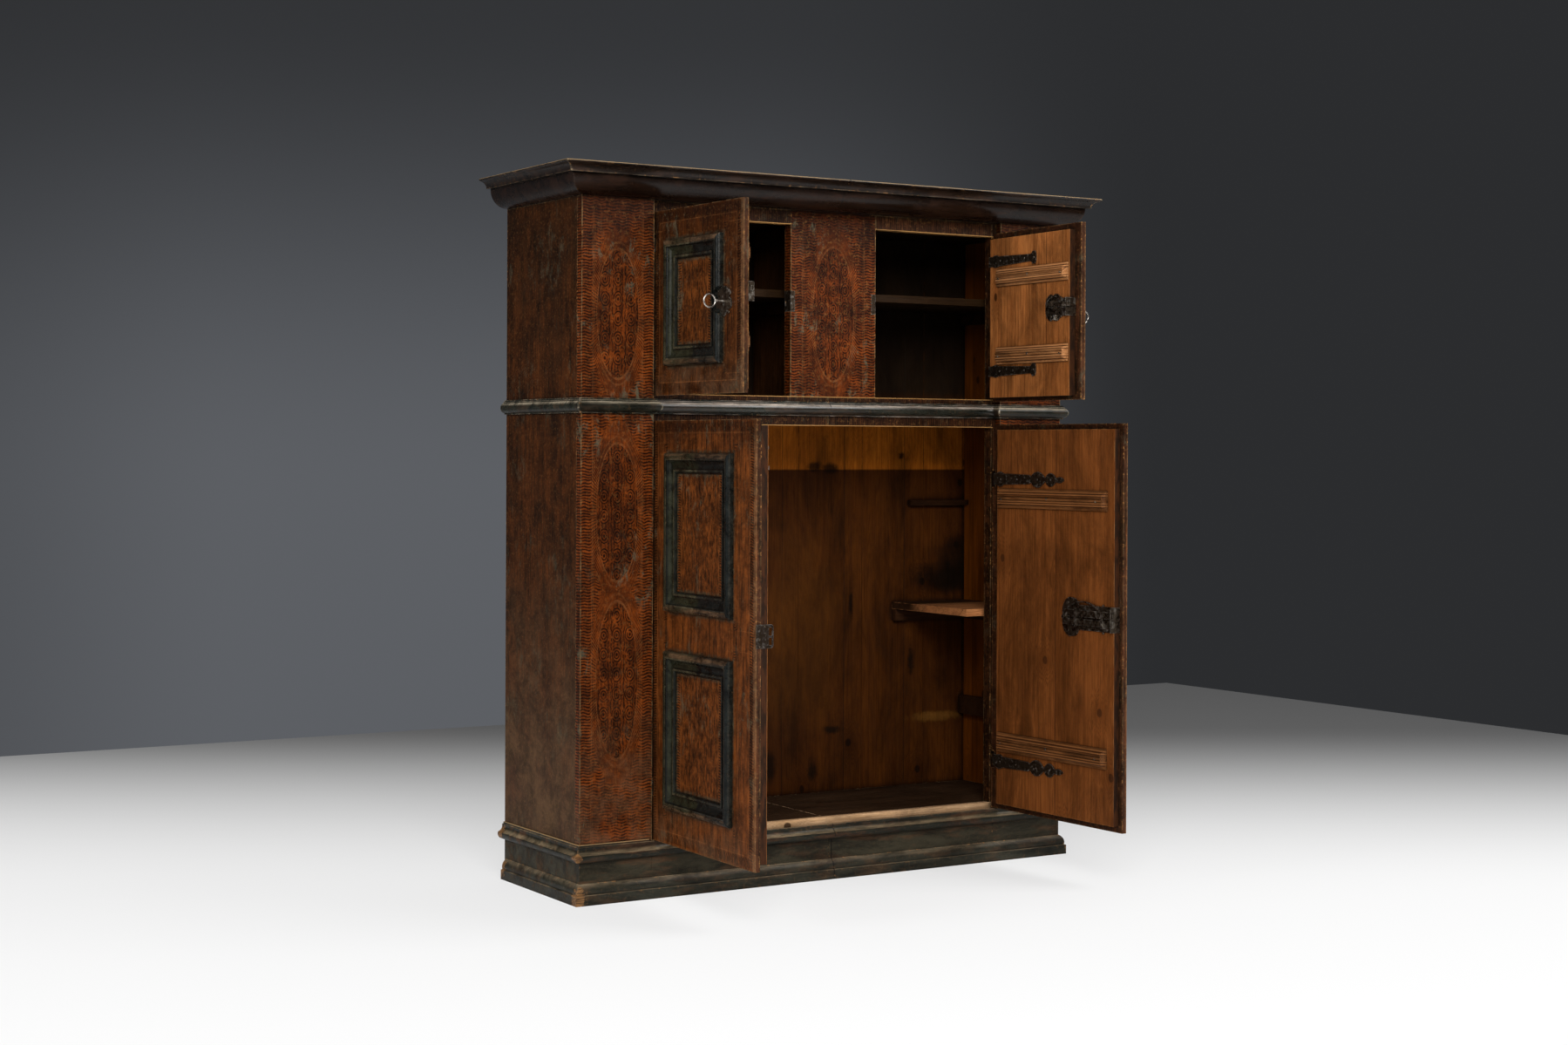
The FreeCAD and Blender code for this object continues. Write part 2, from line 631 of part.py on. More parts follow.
@dataclass
class RimLock:
    """An iron rim lock on a door's back, with its bolts, drawn in the door's own frame."""

    door: Door
    length: float
    height: float
    middle: float
    shield_length: float
    shield_shares: tuple
    case_height: float
    bolts: tuple

    @property
    def start(self):
        """The lock's end nearest the hinges."""
        return self.door.inner_end - self.length

    @property
    def lowest(self):
        """The underside of the lowest bolt."""
        return min(height - width / 2 for height, width in self.bolts)

    @property
    def highest(self):
        """The top of the highest bolt."""
        return max(height + width / 2 for height, width in self.bolts)

    def bolt_bars(self, gap, run):
        """Return the bolts' bars, grown all round by a gap and run past both of their ends."""
        bars = []
        for height, width in self.bolts:
            half = width / 2 + gap
            low = (self.start + BOLT_TAIL - run, BOLT_REST - gap, height - half)
            high = (self.door.inner_end + BOLT_NOSE + run, BOLT_BACK + gap, height + half)
            bars.append(block(low, high))
        return bars

    def case(self):
        """Return the back plate, the staples over the bolts, the spring and the forend in one piece."""
        end = self.door.inner_end
        back = DOOR_THICKNESS
        top = back + LOCK_PLATE
        cover = BOLT_BACK + BOLT_GAP + STAPLE_IRON
        shield = mirrored_face(
            self.shield_shares,
            lambda along, rise: FreeCAD.Vector(
                self.start + along * self.shield_length, back, self.middle + rise * self.height / 2))
        body = shield.extrude(ALONG_Y * LOCK_PLATE)
        low = self.middle - self.case_height / 2
        high = self.middle + self.case_height / 2
        pieces = [block((self.start + self.shield_length, back, low), (end, top, high))]
        for share in STAPLE_SHARES:
            near = self.start + share * self.length
            foot = self.lowest - STAPLE_IRON
            head = self.highest + STAPLE_IRON
            pieces.append(block((near, top, foot), (near + STAPLE_WIDTH, cover, head)))
        pieces.append(self.spring())
        pieces.append(block((end, LIP_BOARD + NOTCH_GAP, low), (end + LOCK_FOREND, cover, high)))
        body = body.fuse(pieces).cut(self.bolt_bars(BOLT_GAP, OVERRUN))
        if self.door.key_place:
            across, height = self.door.key_place
            body = body.cut(keyhole(across, height, back - OVERRUN, top + OVERRUN))
        return [self.door.hang(body)]

    def spring(self):
        """Return the bent leaf spring above the bolts."""
        def place(along, rise):
            """Turn shares of the lock's length and half height into a point on its plate."""
            height = self.middle + rise * self.height / 2
            return FreeCAD.Vector(self.start + along * self.length, DOOR_THICKNESS + LOCK_PLATE, height)

        thick = SPRING_IRON / self.height * 2
        (first, first_rise), (crown, crown_rise, last, last_rise) = SPRING_SHARES
        steps = (
            (first, first_rise), (crown, crown_rise, last, last_rise), (last, last_rise - thick),
            (crown, crown_rise - thick, first, first_rise - thick))
        return closed_face(steps, place).extrude(ALONG_Y * SPRING_WIDTH)

    def sliding(self):
        """Return the bolts in one piece, with a notch for the key's bit or with a knob to slide them by."""
        bars = self.bolt_bars(0, 0)
        body = bars[0]
        if self.door.key_place:
            across = self.door.key_place[0]
            low = (across - TALON_WIDTH / 2, BOLT_REST - OVERRUN, self.lowest - OVERRUN)
            high = (across + TALON_WIDTH / 2, BOLT_BACK + OVERRUN, self.lowest + TALON_DEPTH)
            return [self.door.hang(body.cut(block(low, high)))]
        tail = self.start + BOLT_TAIL
        link = block((tail, BOLT_REST, self.lowest), (tail + LARGE_BOLT_WIDTH, BOLT_BACK, self.highest))
        across = tail + LARGE_BOLT_WIDTH / 2
        middle = (self.lowest + self.highest) / 2
        knob_top = BOLT_BACK + BOLT_KNOB_LENGTH
        knob = rod(BOLT_KNOB_RADIUS, (across, BOLT_BACK, middle), (across, knob_top, middle))
        return [self.door.hang(body.fuse(bars[1:] + [link, knob]))]


def upper_door(side, angle, opening):
    """Return one door of the upper storey, whose opening ends at a distance from the hinge line."""
    sill = UPPER_SILL_Z - UPPER_LAP_LOW
    head = UPPER_HEAD_Z + UPPER_LAP_HIGH
    inner_start = HINGE_LAP + HINGE_CLEARANCE
    inner_end = opening - UPPER_CLEAR_FREE
    return Door(
        side=side, angle=angle, sill=sill, head=head, width=opening + UPPER_LAP_FREE,
        inner_start=inner_start, inner_end=inner_end,
        inner_sill=UPPER_SILL_Z + UPPER_CLEAR_LOW, inner_head=UPPER_HEAD_Z - UPPER_CLEAR_HIGH,
        frames=((sill + UPPER_FRAME_SILL, head - UPPER_FRAME_HEAD),),
        frame_inset=UPPER_FRAME_INSET, frame_free=UPPER_FRAME_FREE,
        batten_height=UPPER_BATTEN_HEIGHT, batten_start=inner_start + UPPER_BATTEN_INSET,
        batten_end=inner_end - UPPER_BATTEN_FREE,
        batten_middles=(sill + UPPER_BATTEN_RISE, head - UPPER_BATTEN_DROP),
        strap_shares=UPPER_STRAP_SHARES, strap_length=UPPER_STRAP_LENGTH, strap_width=UPPER_STRAP_WIDTH,
        strap_middles=(sill + UPPER_STRAP_RISE, head - UPPER_STRAP_DROP),
        key_place=(inner_end - KEY_INSET, UPPER_SILL_Z + SMALL_BOLT_RISE - KEY_DROP))


def lower_door(side, angle, overhang):
    """Return one door of the lower storey, whose outer board overhangs the inner one at the free edge."""
    width = (RIGHT_HINGE_X - LEFT_HINGE_X - MEETING_GAP) / 2
    sill = FLOOR_Z - LOWER_LAP_LOW
    head = LOWER_HEAD_Z + LOWER_LAP_HIGH
    low = sill + LOWER_FRAME_SILL
    high = head - LOWER_FRAME_HEAD
    frame_height = (high - low - LOWER_FRAME_SPLIT) / 2
    return Door(
        side=side, angle=angle, sill=sill, head=head, width=width,
        inner_start=LOWER_INNER_INSET, inner_end=width - overhang,
        inner_sill=FLOOR_Z + LOWER_CLEAR_LOW, inner_head=LOWER_HEAD_Z - LOWER_CLEAR_HIGH,
        frames=((low, low + frame_height), (high - frame_height, high)),
        frame_inset=LOWER_FRAME_INSET, frame_free=LOWER_FRAME_FREE,
        batten_height=LOWER_BATTEN_HEIGHT, batten_start=LOWER_INNER_INSET + LOWER_BATTEN_INSET,
        batten_end=width - overhang - LOWER_BATTEN_FREE,
        batten_middles=(sill + LOWER_BATTEN_RISE, head - LOWER_BATTEN_DROP),
        strap_shares=LOWER_STRAP_SHARES, strap_length=LOWER_STRAP_LENGTH, strap_width=LOWER_STRAP_WIDTH,
        strap_middles=(sill + LOWER_STRAP_RISE, head - LOWER_STRAP_DROP))


def small_lock(door):
    """Return the lock of an upper door."""
    bolt = UPPER_SILL_Z + SMALL_BOLT_RISE
    return RimLock(
        door=door, length=SMALL_LOCK_LENGTH, height=SMALL_LOCK_HEIGHT, middle=bolt - SMALL_BOLT_ABOVE,
        shield_length=SMALL_SHIELD_LENGTH, shield_shares=SMALL_SHIELD_SHARES,
        case_height=SMALL_CASE_HEIGHT, bolts=((bolt, SMALL_BOLT_WIDTH),))


def large_lock(door):
    """Return the lock of the lower right door, with a main bolt and a latch bolt above it."""
    middle = door.sill + LARGE_LOCK_RISE
    bolts = ((middle - LARGE_BOLT_BELOW, LARGE_BOLT_WIDTH), (middle + LATCH_BOLT_ABOVE, LATCH_BOLT_WIDTH))
    return RimLock(
        door=door, length=LARGE_LOCK_LENGTH, height=LARGE_LOCK_HEIGHT, middle=middle,
        shield_length=LARGE_SHIELD_LENGTH, shield_shares=LARGE_SHIELD_SHARES,
        case_height=LARGE_CASE_HEIGHT, bolts=bolts)


def strike(door, lock):
    """Return the plate on the free end of the lower left door, with slots for the other door's bolts."""
    reach = DOOR_THICKNESS + STRIKE_TONGUE - STRIKE_START
    plate = mirrored_face(
        STRIKE_SHARES,
        lambda along, rise: FreeCAD.Vector(
            door.width, STRIKE_START + along * reach, lock.middle + rise * STRIKE_HEIGHT / 2))
    plate = plate.extrude(ALONG_X * STRIKE_IRON)
    for height, width in lock.bolts:
        half = width / 2 + NOTCH_GAP
        low = (door.width - OVERRUN, BOLT_REST - NOTCH_GAP, height - half)
        plate = plate.cut(block(low, (door.width + 2 * OVERRUN, BOLT_BACK + NOTCH_GAP, height + half)))
    return plate


def hook_stud(door):
    """Return the headed stud that the hook turns on."""
    across = door.inner_end - HOOK_STUD_INSET
    height = door.head - HOOK_STUD_DROP
    head = DOOR_THICKNESS + HOOK_IRON + 2 * BOLT_GAP
    top = head + HOOK_STUD_HEAD
    stud = rod(HOOK_STUD_RADIUS, (across, DOOR_THICKNESS, height), (across, head, height))
    return stud.fuse(rod(HOOK_STUD_HEAD_RADIUS, (across, head, height), (across, top, height)))


def hook(door):
    """Return the small hook that hangs from its stud on the lower left door."""
    across = door.inner_end - HOOK_STUD_INSET
    height = door.head - HOOK_STUD_DROP
    near = DOOR_THICKNESS + BOLT_GAP
    far = near + HOOK_IRON
    half = HOOK_IRON / 2
    foot = height - HOOK_LENGTH
    eye = rod(HOOK_EYE_RADIUS, (across, near, height), (across, far, height))
    arm = block((across - half, near, foot), (across + half, far, height))
    tip = block((across - half, near, foot), (across + half + HOOK_TIP, far, foot + HOOK_IRON))
    point = block(
        (across + HOOK_TIP - half, near, foot), (across + half + HOOK_TIP, far, foot + HOOK_TIP))
    bore_radius = HOOK_STUD_RADIUS + HOOK_CLEARANCE
    bore = rod(bore_radius, (across, near - OVERRUN, height), (across, far + OVERRUN, height))
    return [door.hang(eye.fuse([arm, tip, point]).cut(bore))]


def keeper(edge, inward):
    """Return the bent plate let into a centre board where an upper door's bolt enters."""
    middle = UPPER_SILL_Z + SMALL_BOLT_RISE + KEEPER_ABOVE
    low = middle - KEEPER_HEIGHT / 2
    high = middle + KEEPER_HEIGHT / 2
    leaf = block((edge, RECESS_Y, low), (edge + inward * KEEPER_IRON, FRONT_BACK_Y, high))
    flange = block((edge, RECESS_Y, low), (edge + inward * KEEPER_FACE, RECESS_Y + KEEPER_IRON, high))
    return leaf.fuse(flange)


def keeper_slot(edge, inward):
    """Return the mortise that an upper door's bolt enters."""
    bolt = UPPER_SILL_Z + SMALL_BOLT_RISE
    half = SMALL_BOLT_WIDTH / 2 + KEEPER_SLOT_GAP
    low = (edge - inward * OVERRUN, HINGE_Y + BOLT_REST - KEEPER_SLOT_GAP, bolt - half)
    high = (edge + inward * KEEPER_MORTISE, HINGE_Y + BOLT_BACK + KEEPER_SLOT_GAP, bolt + half)
    return block(low, high)


def corner_board(outside, inside, doors):
    """Return one front corner board, notched for the knuckles and bored for the spikes."""
    board = block((outside, FRONT_Y, PLINTH_HEIGHT), (inside, RECESS_Y, BODY_TOP_Z))
    for door in doors:
        for middle in door.strap_middles:
            board = board.cut([knuckle_mortise(door, middle), pintle(door, middle)])
    return [board]


def centre_board(edge, inward):
    """Return one half of the panel between the upper doors, with its mortise and keeper recess."""
    board = block((edge, RECESS_Y, UPPER_SILL_Z), (CENTRE_PANEL_SHIFT, FRONT_BACK_Y, BODY_TOP_Z))
    return [board.cut([keeper(edge, inward), keeper_slot(edge, inward)])]


def side_panel(outside, inside):
    """Return one side of the carcass."""
    return [block((outside, RECESS_Y, PLINTH_HEIGHT), (inside, BACK_Y, BODY_TOP_Z))]


def back_boards():
    """Return the upright boards of the back, with open seams between them."""
    joints = [INSIDE_LEFT_X]
    joint = LEFT_X + BACK_BOARD_START
    while joint < INSIDE_RIGHT_X - BACK_BOARD_WIDTH / 2:
        joints.append(joint)
        joint += BACK_BOARD_WIDTH
    joints.append(INSIDE_RIGHT_X)
    boards = []
    for left, right in zip(joints, joints[1:]):
        start = left + (BOARD_SEAM if boards else 0)
        boards.append(block((start, INSIDE_BACK_Y, PLINTH_HEIGHT), (right, BACK_Y, BODY_TOP_Z)))
    return boards


def split_in_halves(low, high):
    """Return the two boards on either side of the joint in the middle of the carcass."""
    return [
        block(low, (HALVES_JOINT_X - BOARD_SEAM, high[1], high[2])),
        block((HALVES_JOINT_X, low[1], low[2]), high)]


def cleat(left, right, front, back, bottom, height=CLEAT_HEIGHT):
    """Return one strip that carries a shelf."""
    return block((left, front, bottom), (right, back, bottom + height))


def upper_shelves():
    """Return the two shelves of the upper storey, one on each side of the partition."""
    bottom = MIDDLE_DECK_Z + UPPER_SHELF_RISE
    front = RECESS_Y + UPPER_SHELF_SETBACK
    half = PARTITION_BOARD / 2
    spans = ((INSIDE_LEFT_X, CENTRE_PANEL_SHIFT - half), (CENTRE_PANEL_SHIFT + half, INSIDE_RIGHT_X))
    shelves = []
    cleats = []
    for left, right in spans:
        shelves.append(block((left, front, bottom), (right, INSIDE_BACK_Y, bottom + SHELF_BOARD)))
        foot = bottom - CLEAT_HEIGHT
        cleats.append(cleat(left, left + CLEAT_THICKNESS, front, INSIDE_BACK_Y, foot))
        cleats.append(cleat(right - CLEAT_THICKNESS, right, front, INSIDE_BACK_Y, foot))
    return shelves, cleats


def lower_shelf():
    """Return the half shelf at the right of the lower storey and the strips on its walls."""
    bottom = FLOOR_Z + LOWER_SHELF_RISE
    left = INSIDE_RIGHT_X - LOWER_SHELF_WIDTH
    wall = INSIDE_RIGHT_X - CLEAT_THICKNESS
    behind = INSIDE_BACK_Y - CLEAT_THICKNESS
    foot = bottom - CLEAT_HEIGHT
    shelf = block((left, FRONT_BACK_Y, bottom), (INSIDE_RIGHT_X, INSIDE_BACK_Y, bottom + SHELF_BOARD))
    old_left = INSIDE_RIGHT_X - OLD_CLEAT_LENGTH
    old_foot = FLOOR_Z + OLD_CLEAT_RISE
    low_foot = FLOOR_Z + SIDE_CLEAT_RISE
    cleats = [
        cleat(wall, INSIDE_RIGHT_X, FRONT_BACK_Y, INSIDE_BACK_Y, foot),
        cleat(left, wall, behind, INSIDE_BACK_Y, foot),
        cleat(old_left, INSIDE_RIGHT_X, behind, INSIDE_BACK_Y, old_foot, OLD_CLEAT_HEIGHT),
        cleat(wall, INSIDE_RIGHT_X, FRONT_BACK_Y, INSIDE_BACK_Y, low_foot, SIDE_CLEAT_HEIGHT)]
    return shelf, cleats


def plinth_front_boards():
    """Return the front of the plinth: a block at each corner and two boards between them."""
    joints = (LEFT_X, LEFT_X + PLINTH_LEFT_BLOCK, PLINTH_JOINT_X, RIGHT_X - PLINTH_RIGHT_BLOCK, RIGHT_X)
    back = FRONT_Y + PLINTH_BOARD
    return [
        block((left, FRONT_Y, 0), (right - (BOARD_SEAM if right < RIGHT_X else 0), back, PLINTH_HEIGHT))
        for left, right in zip(joints, joints[1:])]


def plinth_side_boards():
    """Return the two sides of the plinth."""
    front = FRONT_Y + PLINTH_BOARD
    return [
        block((LEFT_X, front, 0), (LEFT_X + PLINTH_BOARD, BACK_Y, PLINTH_HEIGHT)),
        block((RIGHT_X - PLINTH_BOARD, front, 0), (RIGHT_X, BACK_Y, PLINTH_HEIGHT))]


def plinth_bearers():
    """Return the bearers under the floor and the back rail of the plinth."""
    front = FRONT_Y + PLINTH_BOARD
    back = BACK_Y - PLINTH_BOARD
    half = BEARER_WIDTH / 2
    bearers = [
        block((middle - half, front, 0), (middle + half, back, PLINTH_HEIGHT))
        for middle in (-BEARER_SPACING, 0, BEARER_SPACING)]
    bearers.append(block((LEFT_X + PLINTH_BOARD, back, 0), (RIGHT_X - PLINTH_BOARD, BACK_Y, PLINTH_HEIGHT)))
    return bearers


def base_moulding():
    """Return the moulding over the plinth's top, planed down where the lower doors swing over it."""
    runs = wrap_round(
        BASE_MOULDING_SHARES, BASE_MOULDING_PROJECTION, BASE_MOULDING_HEIGHT, BASE_MOULDING_Z, BACK_Y)
    top = BASE_MOULDING_Z + BASE_MOULDING_HEIGHT
    low = (LEFT_CORNER_X - DOOR_PATH_REACH, FRONT_Y - 2 * BASE_MOULDING_PROJECTION, top - DOOR_PATH_DEPTH)
    path = block(low, (RIGHT_CORNER_X + DOOR_PATH_REACH, FRONT_Y + OVERRUN, top + OVERRUN))
    return [runs[0].cut(path), runs[1].cut(path), runs[2], runs[3]]


def waist_main():
    """Return the two lengths of waist moulding across the recess between the corner boards."""
    sizes = (WAIST_SHARES, WAIST_PROJECTION, WAIST_HEIGHT)
    return [
        front_run(*sizes, LEFT_CORNER_X, HALVES_JOINT_X, RECESS_Y, WAIST_Z, start=-1),
        front_run(*sizes, HALVES_JOINT_X, RIGHT_CORNER_X, RECESS_Y, WAIST_Z, end=-1)]


def waist_corners():
    """Return the waist moulding round each corner board: its side, its front and its return."""
    sizes = (WAIST_SHARES, WAIST_PROJECTION, WAIST_HEIGHT)
    return [
        side_run(*sizes, -1, LEFT_X, FRONT_Y, BACK_Y, WAIST_Z),
        front_run(*sizes, LEFT_X, LEFT_CORNER_X, FRONT_Y, WAIST_Z, start=1, end=1),
        side_run(*sizes, 1, LEFT_CORNER_X, FRONT_Y, RECESS_Y, WAIST_Z, end=-1),
        side_run(*sizes, -1, RIGHT_CORNER_X, FRONT_Y, RECESS_Y, WAIST_Z, end=-1),
        front_run(*sizes, RIGHT_CORNER_X, RIGHT_X, FRONT_Y, WAIST_Z, start=1, end=1),
        side_run(*sizes, 1, RIGHT_X, FRONT_Y, BACK_Y, WAIST_Z)]


def cornice_frame():
    """Return the cornice's quarter-round boards and the plain rail behind them."""
    runs = wrap_round(OVOLO_SHARES, OVOLO_PROJECTION, OVOLO_HEIGHT, BODY_TOP_Z, BACK_Y)
    inset = -OVOLO_PROJECTION * OVOLO_SHARES[0][0]
    low = (LEFT_X + inset, BACK_Y - CORNICE_RAIL, BODY_TOP_Z)
    runs.append(block(low, (RIGHT_X - inset, BACK_Y, TOP_Z)))
    return runs


def carcass(doors):
    """Return the nodes of the carcass by name."""
    lefts = (doors["upper_left"], doors["lower_left"])
    rights = (doors["upper_right"], doors["lower_right"])
    shelves, upper_cleats = upper_shelves()
    half_shelf, lower_cleats = lower_shelf()
    half = PARTITION_BOARD / 2
    inside = (INSIDE_RIGHT_X, INSIDE_BACK_Y)
    return {
        "side_panel_left": side_panel(LEFT_X, INSIDE_LEFT_X),
        "side_panel_right": side_panel(RIGHT_X, INSIDE_RIGHT_X),
        "corner_board_left": corner_board(LEFT_X, LEFT_CORNER_X, lefts),
        "corner_board_right": corner_board(RIGHT_X, RIGHT_CORNER_X, rights),
        "back_boards": back_boards(),
        "floor_boards": split_in_halves((INSIDE_LEFT_X, RECESS_Y, PLINTH_HEIGHT), (*inside, FLOOR_Z)),
        "middle_deck": split_in_halves(
            (INSIDE_LEFT_X, FRONT_BACK_Y, MIDDLE_DECK_Z - DECK_BOARD), (*inside, MIDDLE_DECK_Z)),
        "top_boards": split_in_halves(
            (INSIDE_LEFT_X, FRONT_BACK_Y, BODY_TOP_Z - DECK_BOARD), (*inside, BODY_TOP_Z)),
        "jamb_stiles": [
            block((INSIDE_LEFT_X, RECESS_Y, FLOOR_Z), (LEFT_JAMB_X, FRONT_BACK_Y, BODY_TOP_Z)),
            block((RIGHT_JAMB_X, RECESS_Y, FLOOR_Z), (INSIDE_RIGHT_X, FRONT_BACK_Y, BODY_TOP_Z))],
        "middle_rails": split_in_halves(
            (LEFT_JAMB_X, RECESS_Y, LOWER_HEAD_Z), (RIGHT_JAMB_X, FRONT_BACK_Y, UPPER_SILL_Z)),
        "top_rails": [
            block((LEFT_JAMB_X, RECESS_Y, UPPER_HEAD_Z), (PANEL_LEFT_X, FRONT_BACK_Y, BODY_TOP_Z)),
            block((PANEL_RIGHT_X, RECESS_Y, UPPER_HEAD_Z), (RIGHT_JAMB_X, FRONT_BACK_Y, BODY_TOP_Z))],
        "centre_board_left": centre_board(PANEL_LEFT_X, 1),
        "centre_board_right": centre_board(PANEL_RIGHT_X, -1),
        "upper_partition": [block(
            (CENTRE_PANEL_SHIFT - half, FRONT_BACK_Y, MIDDLE_DECK_Z),
            (CENTRE_PANEL_SHIFT + half, INSIDE_BACK_Y, BODY_TOP_Z - DECK_BOARD))],
        "upper_shelves": shelves,
        "lower_shelf": [half_shelf],
        "shelf_cleats": upper_cleats + lower_cleats,
        "plinth_front_boards": plinth_front_boards(),
        "plinth_side_boards": plinth_side_boards(),
        "plinth_bearers": plinth_bearers(),
        "foot_moulding": wrap_round(FOOT_SHARES, FOOT_PROJECTION, FOOT_HEIGHT, 0, BACK_Y - FOOT_END_GAP),
        "base_moulding": base_moulding(),
        "waist_moulding_main": waist_main(),
        "waist_moulding_corners": waist_corners(),
        "cornice_frame": cornice_frame(),
        "cornice_cap": wrap_round(CAP_SHARES, CAP_PROJECTION, CAP_HEIGHT, CAP_Z, BACK_Y),
        "hinge_pintles": [pintle(door, middle) for door in doors.values() for middle in door.strap_middles],
        "keeper_plates": [
            keeper(PANEL_LEFT_X, 1).cut(keeper_slot(PANEL_LEFT_X, 1)),
            keeper(PANEL_RIGHT_X, -1).cut(keeper_slot(PANEL_RIGHT_X, -1))]}


def door_nodes(doors):
    """Return the nodes of the four doors and of the ironwork on them by name."""
    nodes = {}
    for name, door in doors.items():
        nodes[name + "_face_board"] = door.face_board()
        nodes[name + "_inner_board"] = door.inner_board()
        nodes[name + "_panel_frames"] = door.panel_frames()
        nodes[name + "_battens"] = door.battens()
        nodes[name + "_straps"] = door.straps()
    for name in ("upper_left", "upper_right"):
        lock = small_lock(doors[name])
        nodes[name + "_escutcheon"] = escutcheon(doors[name])
        nodes[name + "_lock"] = lock.case()
        nodes[name + "_bolt"] = lock.sliding()
        nodes[name + "_key"] = key(doors[name])
    lock = large_lock(doors["lower_right"])
    left = doors["lower_left"]
    nodes["lower_right_lock"] = lock.case()
    nodes["lower_right_bolts"] = lock.sliding()
    nodes["lower_left_strike"] = [left.hang(strike(left, lock)), left.hang(hook_stud(left))]
    nodes["lower_left_hook"] = hook(left)
    return nodes


def main():
    """Write every node as a file of its own."""
    doors = {
        "upper_left": upper_door(-1, UPPER_LEFT_ANGLE, PANEL_LEFT_X - LEFT_HINGE_X),
        "upper_right": upper_door(1, UPPER_RIGHT_ANGLE, RIGHT_HINGE_X - PANEL_RIGHT_X),
        "lower_left": lower_door(-1, LOWER_LEFT_ANGLE, 0),
        "lower_right": lower_door(1, LOWER_RIGHT_ANGLE, LOWER_RIGHT_OVERHANG)}
    os.makedirs("parts", exist_ok=True)
    for name, solids in {**carcass(doors), **door_nodes(doors)}.items():
        shape = solids[0] if len(solids) == 1 else Part.makeCompound(solids)
        shape.exportStep(os.path.join("parts", name + ".step"))


main()
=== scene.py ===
"""The looks of a painted pine cupboard with four open doors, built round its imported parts.

Places on the carcass are in millimetres in the row frame. Places on a door are in the door's own frame: from the
hinge line towards the free edge, from the front face inwards, and up from the floor.
"""

import logging
import math
from dataclasses import dataclass, field
from enum import Enum
from functools import cached_property
from typing import Any, Sequence

import bpy
from mathutils import Matrix, Vector


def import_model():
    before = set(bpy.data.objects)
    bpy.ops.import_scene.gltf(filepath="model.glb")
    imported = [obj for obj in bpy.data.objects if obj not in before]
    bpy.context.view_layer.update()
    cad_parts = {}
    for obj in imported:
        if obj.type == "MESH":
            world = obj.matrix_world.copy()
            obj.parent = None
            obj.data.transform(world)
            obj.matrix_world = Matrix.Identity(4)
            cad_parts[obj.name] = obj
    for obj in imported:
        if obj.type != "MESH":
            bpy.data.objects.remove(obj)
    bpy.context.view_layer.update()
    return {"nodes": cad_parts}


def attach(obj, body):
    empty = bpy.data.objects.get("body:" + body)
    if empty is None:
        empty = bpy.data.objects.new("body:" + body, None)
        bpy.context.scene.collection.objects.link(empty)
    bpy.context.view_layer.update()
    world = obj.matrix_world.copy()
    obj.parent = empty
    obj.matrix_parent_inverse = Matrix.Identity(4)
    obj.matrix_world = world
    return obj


LOG = logging.getLogger("cupboard")
MM = 0.001
FULL_TURN = 2 * math.pi
COAT_ROUGHNESS = 0.2
SENSOR_WIDTH = 36.0

Colour = tuple[float, float, float]
Point = tuple[float, float, float]
Spot = tuple[Point, Point]
Parts = dict[str, bpy.types.Object]

INWARDS = (0.0, 1.0, 0.0)
OUTWARDS = (0.0, -1.0, 0.0)
TO_FREE_EDGE = (1.0, 0.0, 0.0)

# The hinge lines on the carcass, and how far in from a door's front face its iron and its battens end.
LEFT_HINGE_X = -550.0
RIGHT_HINGE_X = 544.0
HINGE_Y = -210.5
FRONT_PLATE_FACE = -2.3
BACK_IRON_FACE = 34.8
BATTEN_FACE = 45.7


def scaled(colour: Colour, gain: float) -> Colour:
    """Return a colour made lighter or darker by a gain."""
    return tuple(part * gain for part in colour)


def placed(name: str, data: bpy.types.ID) -> bpy.types.Object:
    """Return a new object that holds some data and stands in the scene."""
    made = bpy.data.objects.new(name, data)
    bpy.context.scene.collection.objects.link(made)
    return made


# ---------------------------------------------------------------------------------------------------------------
# Node trees


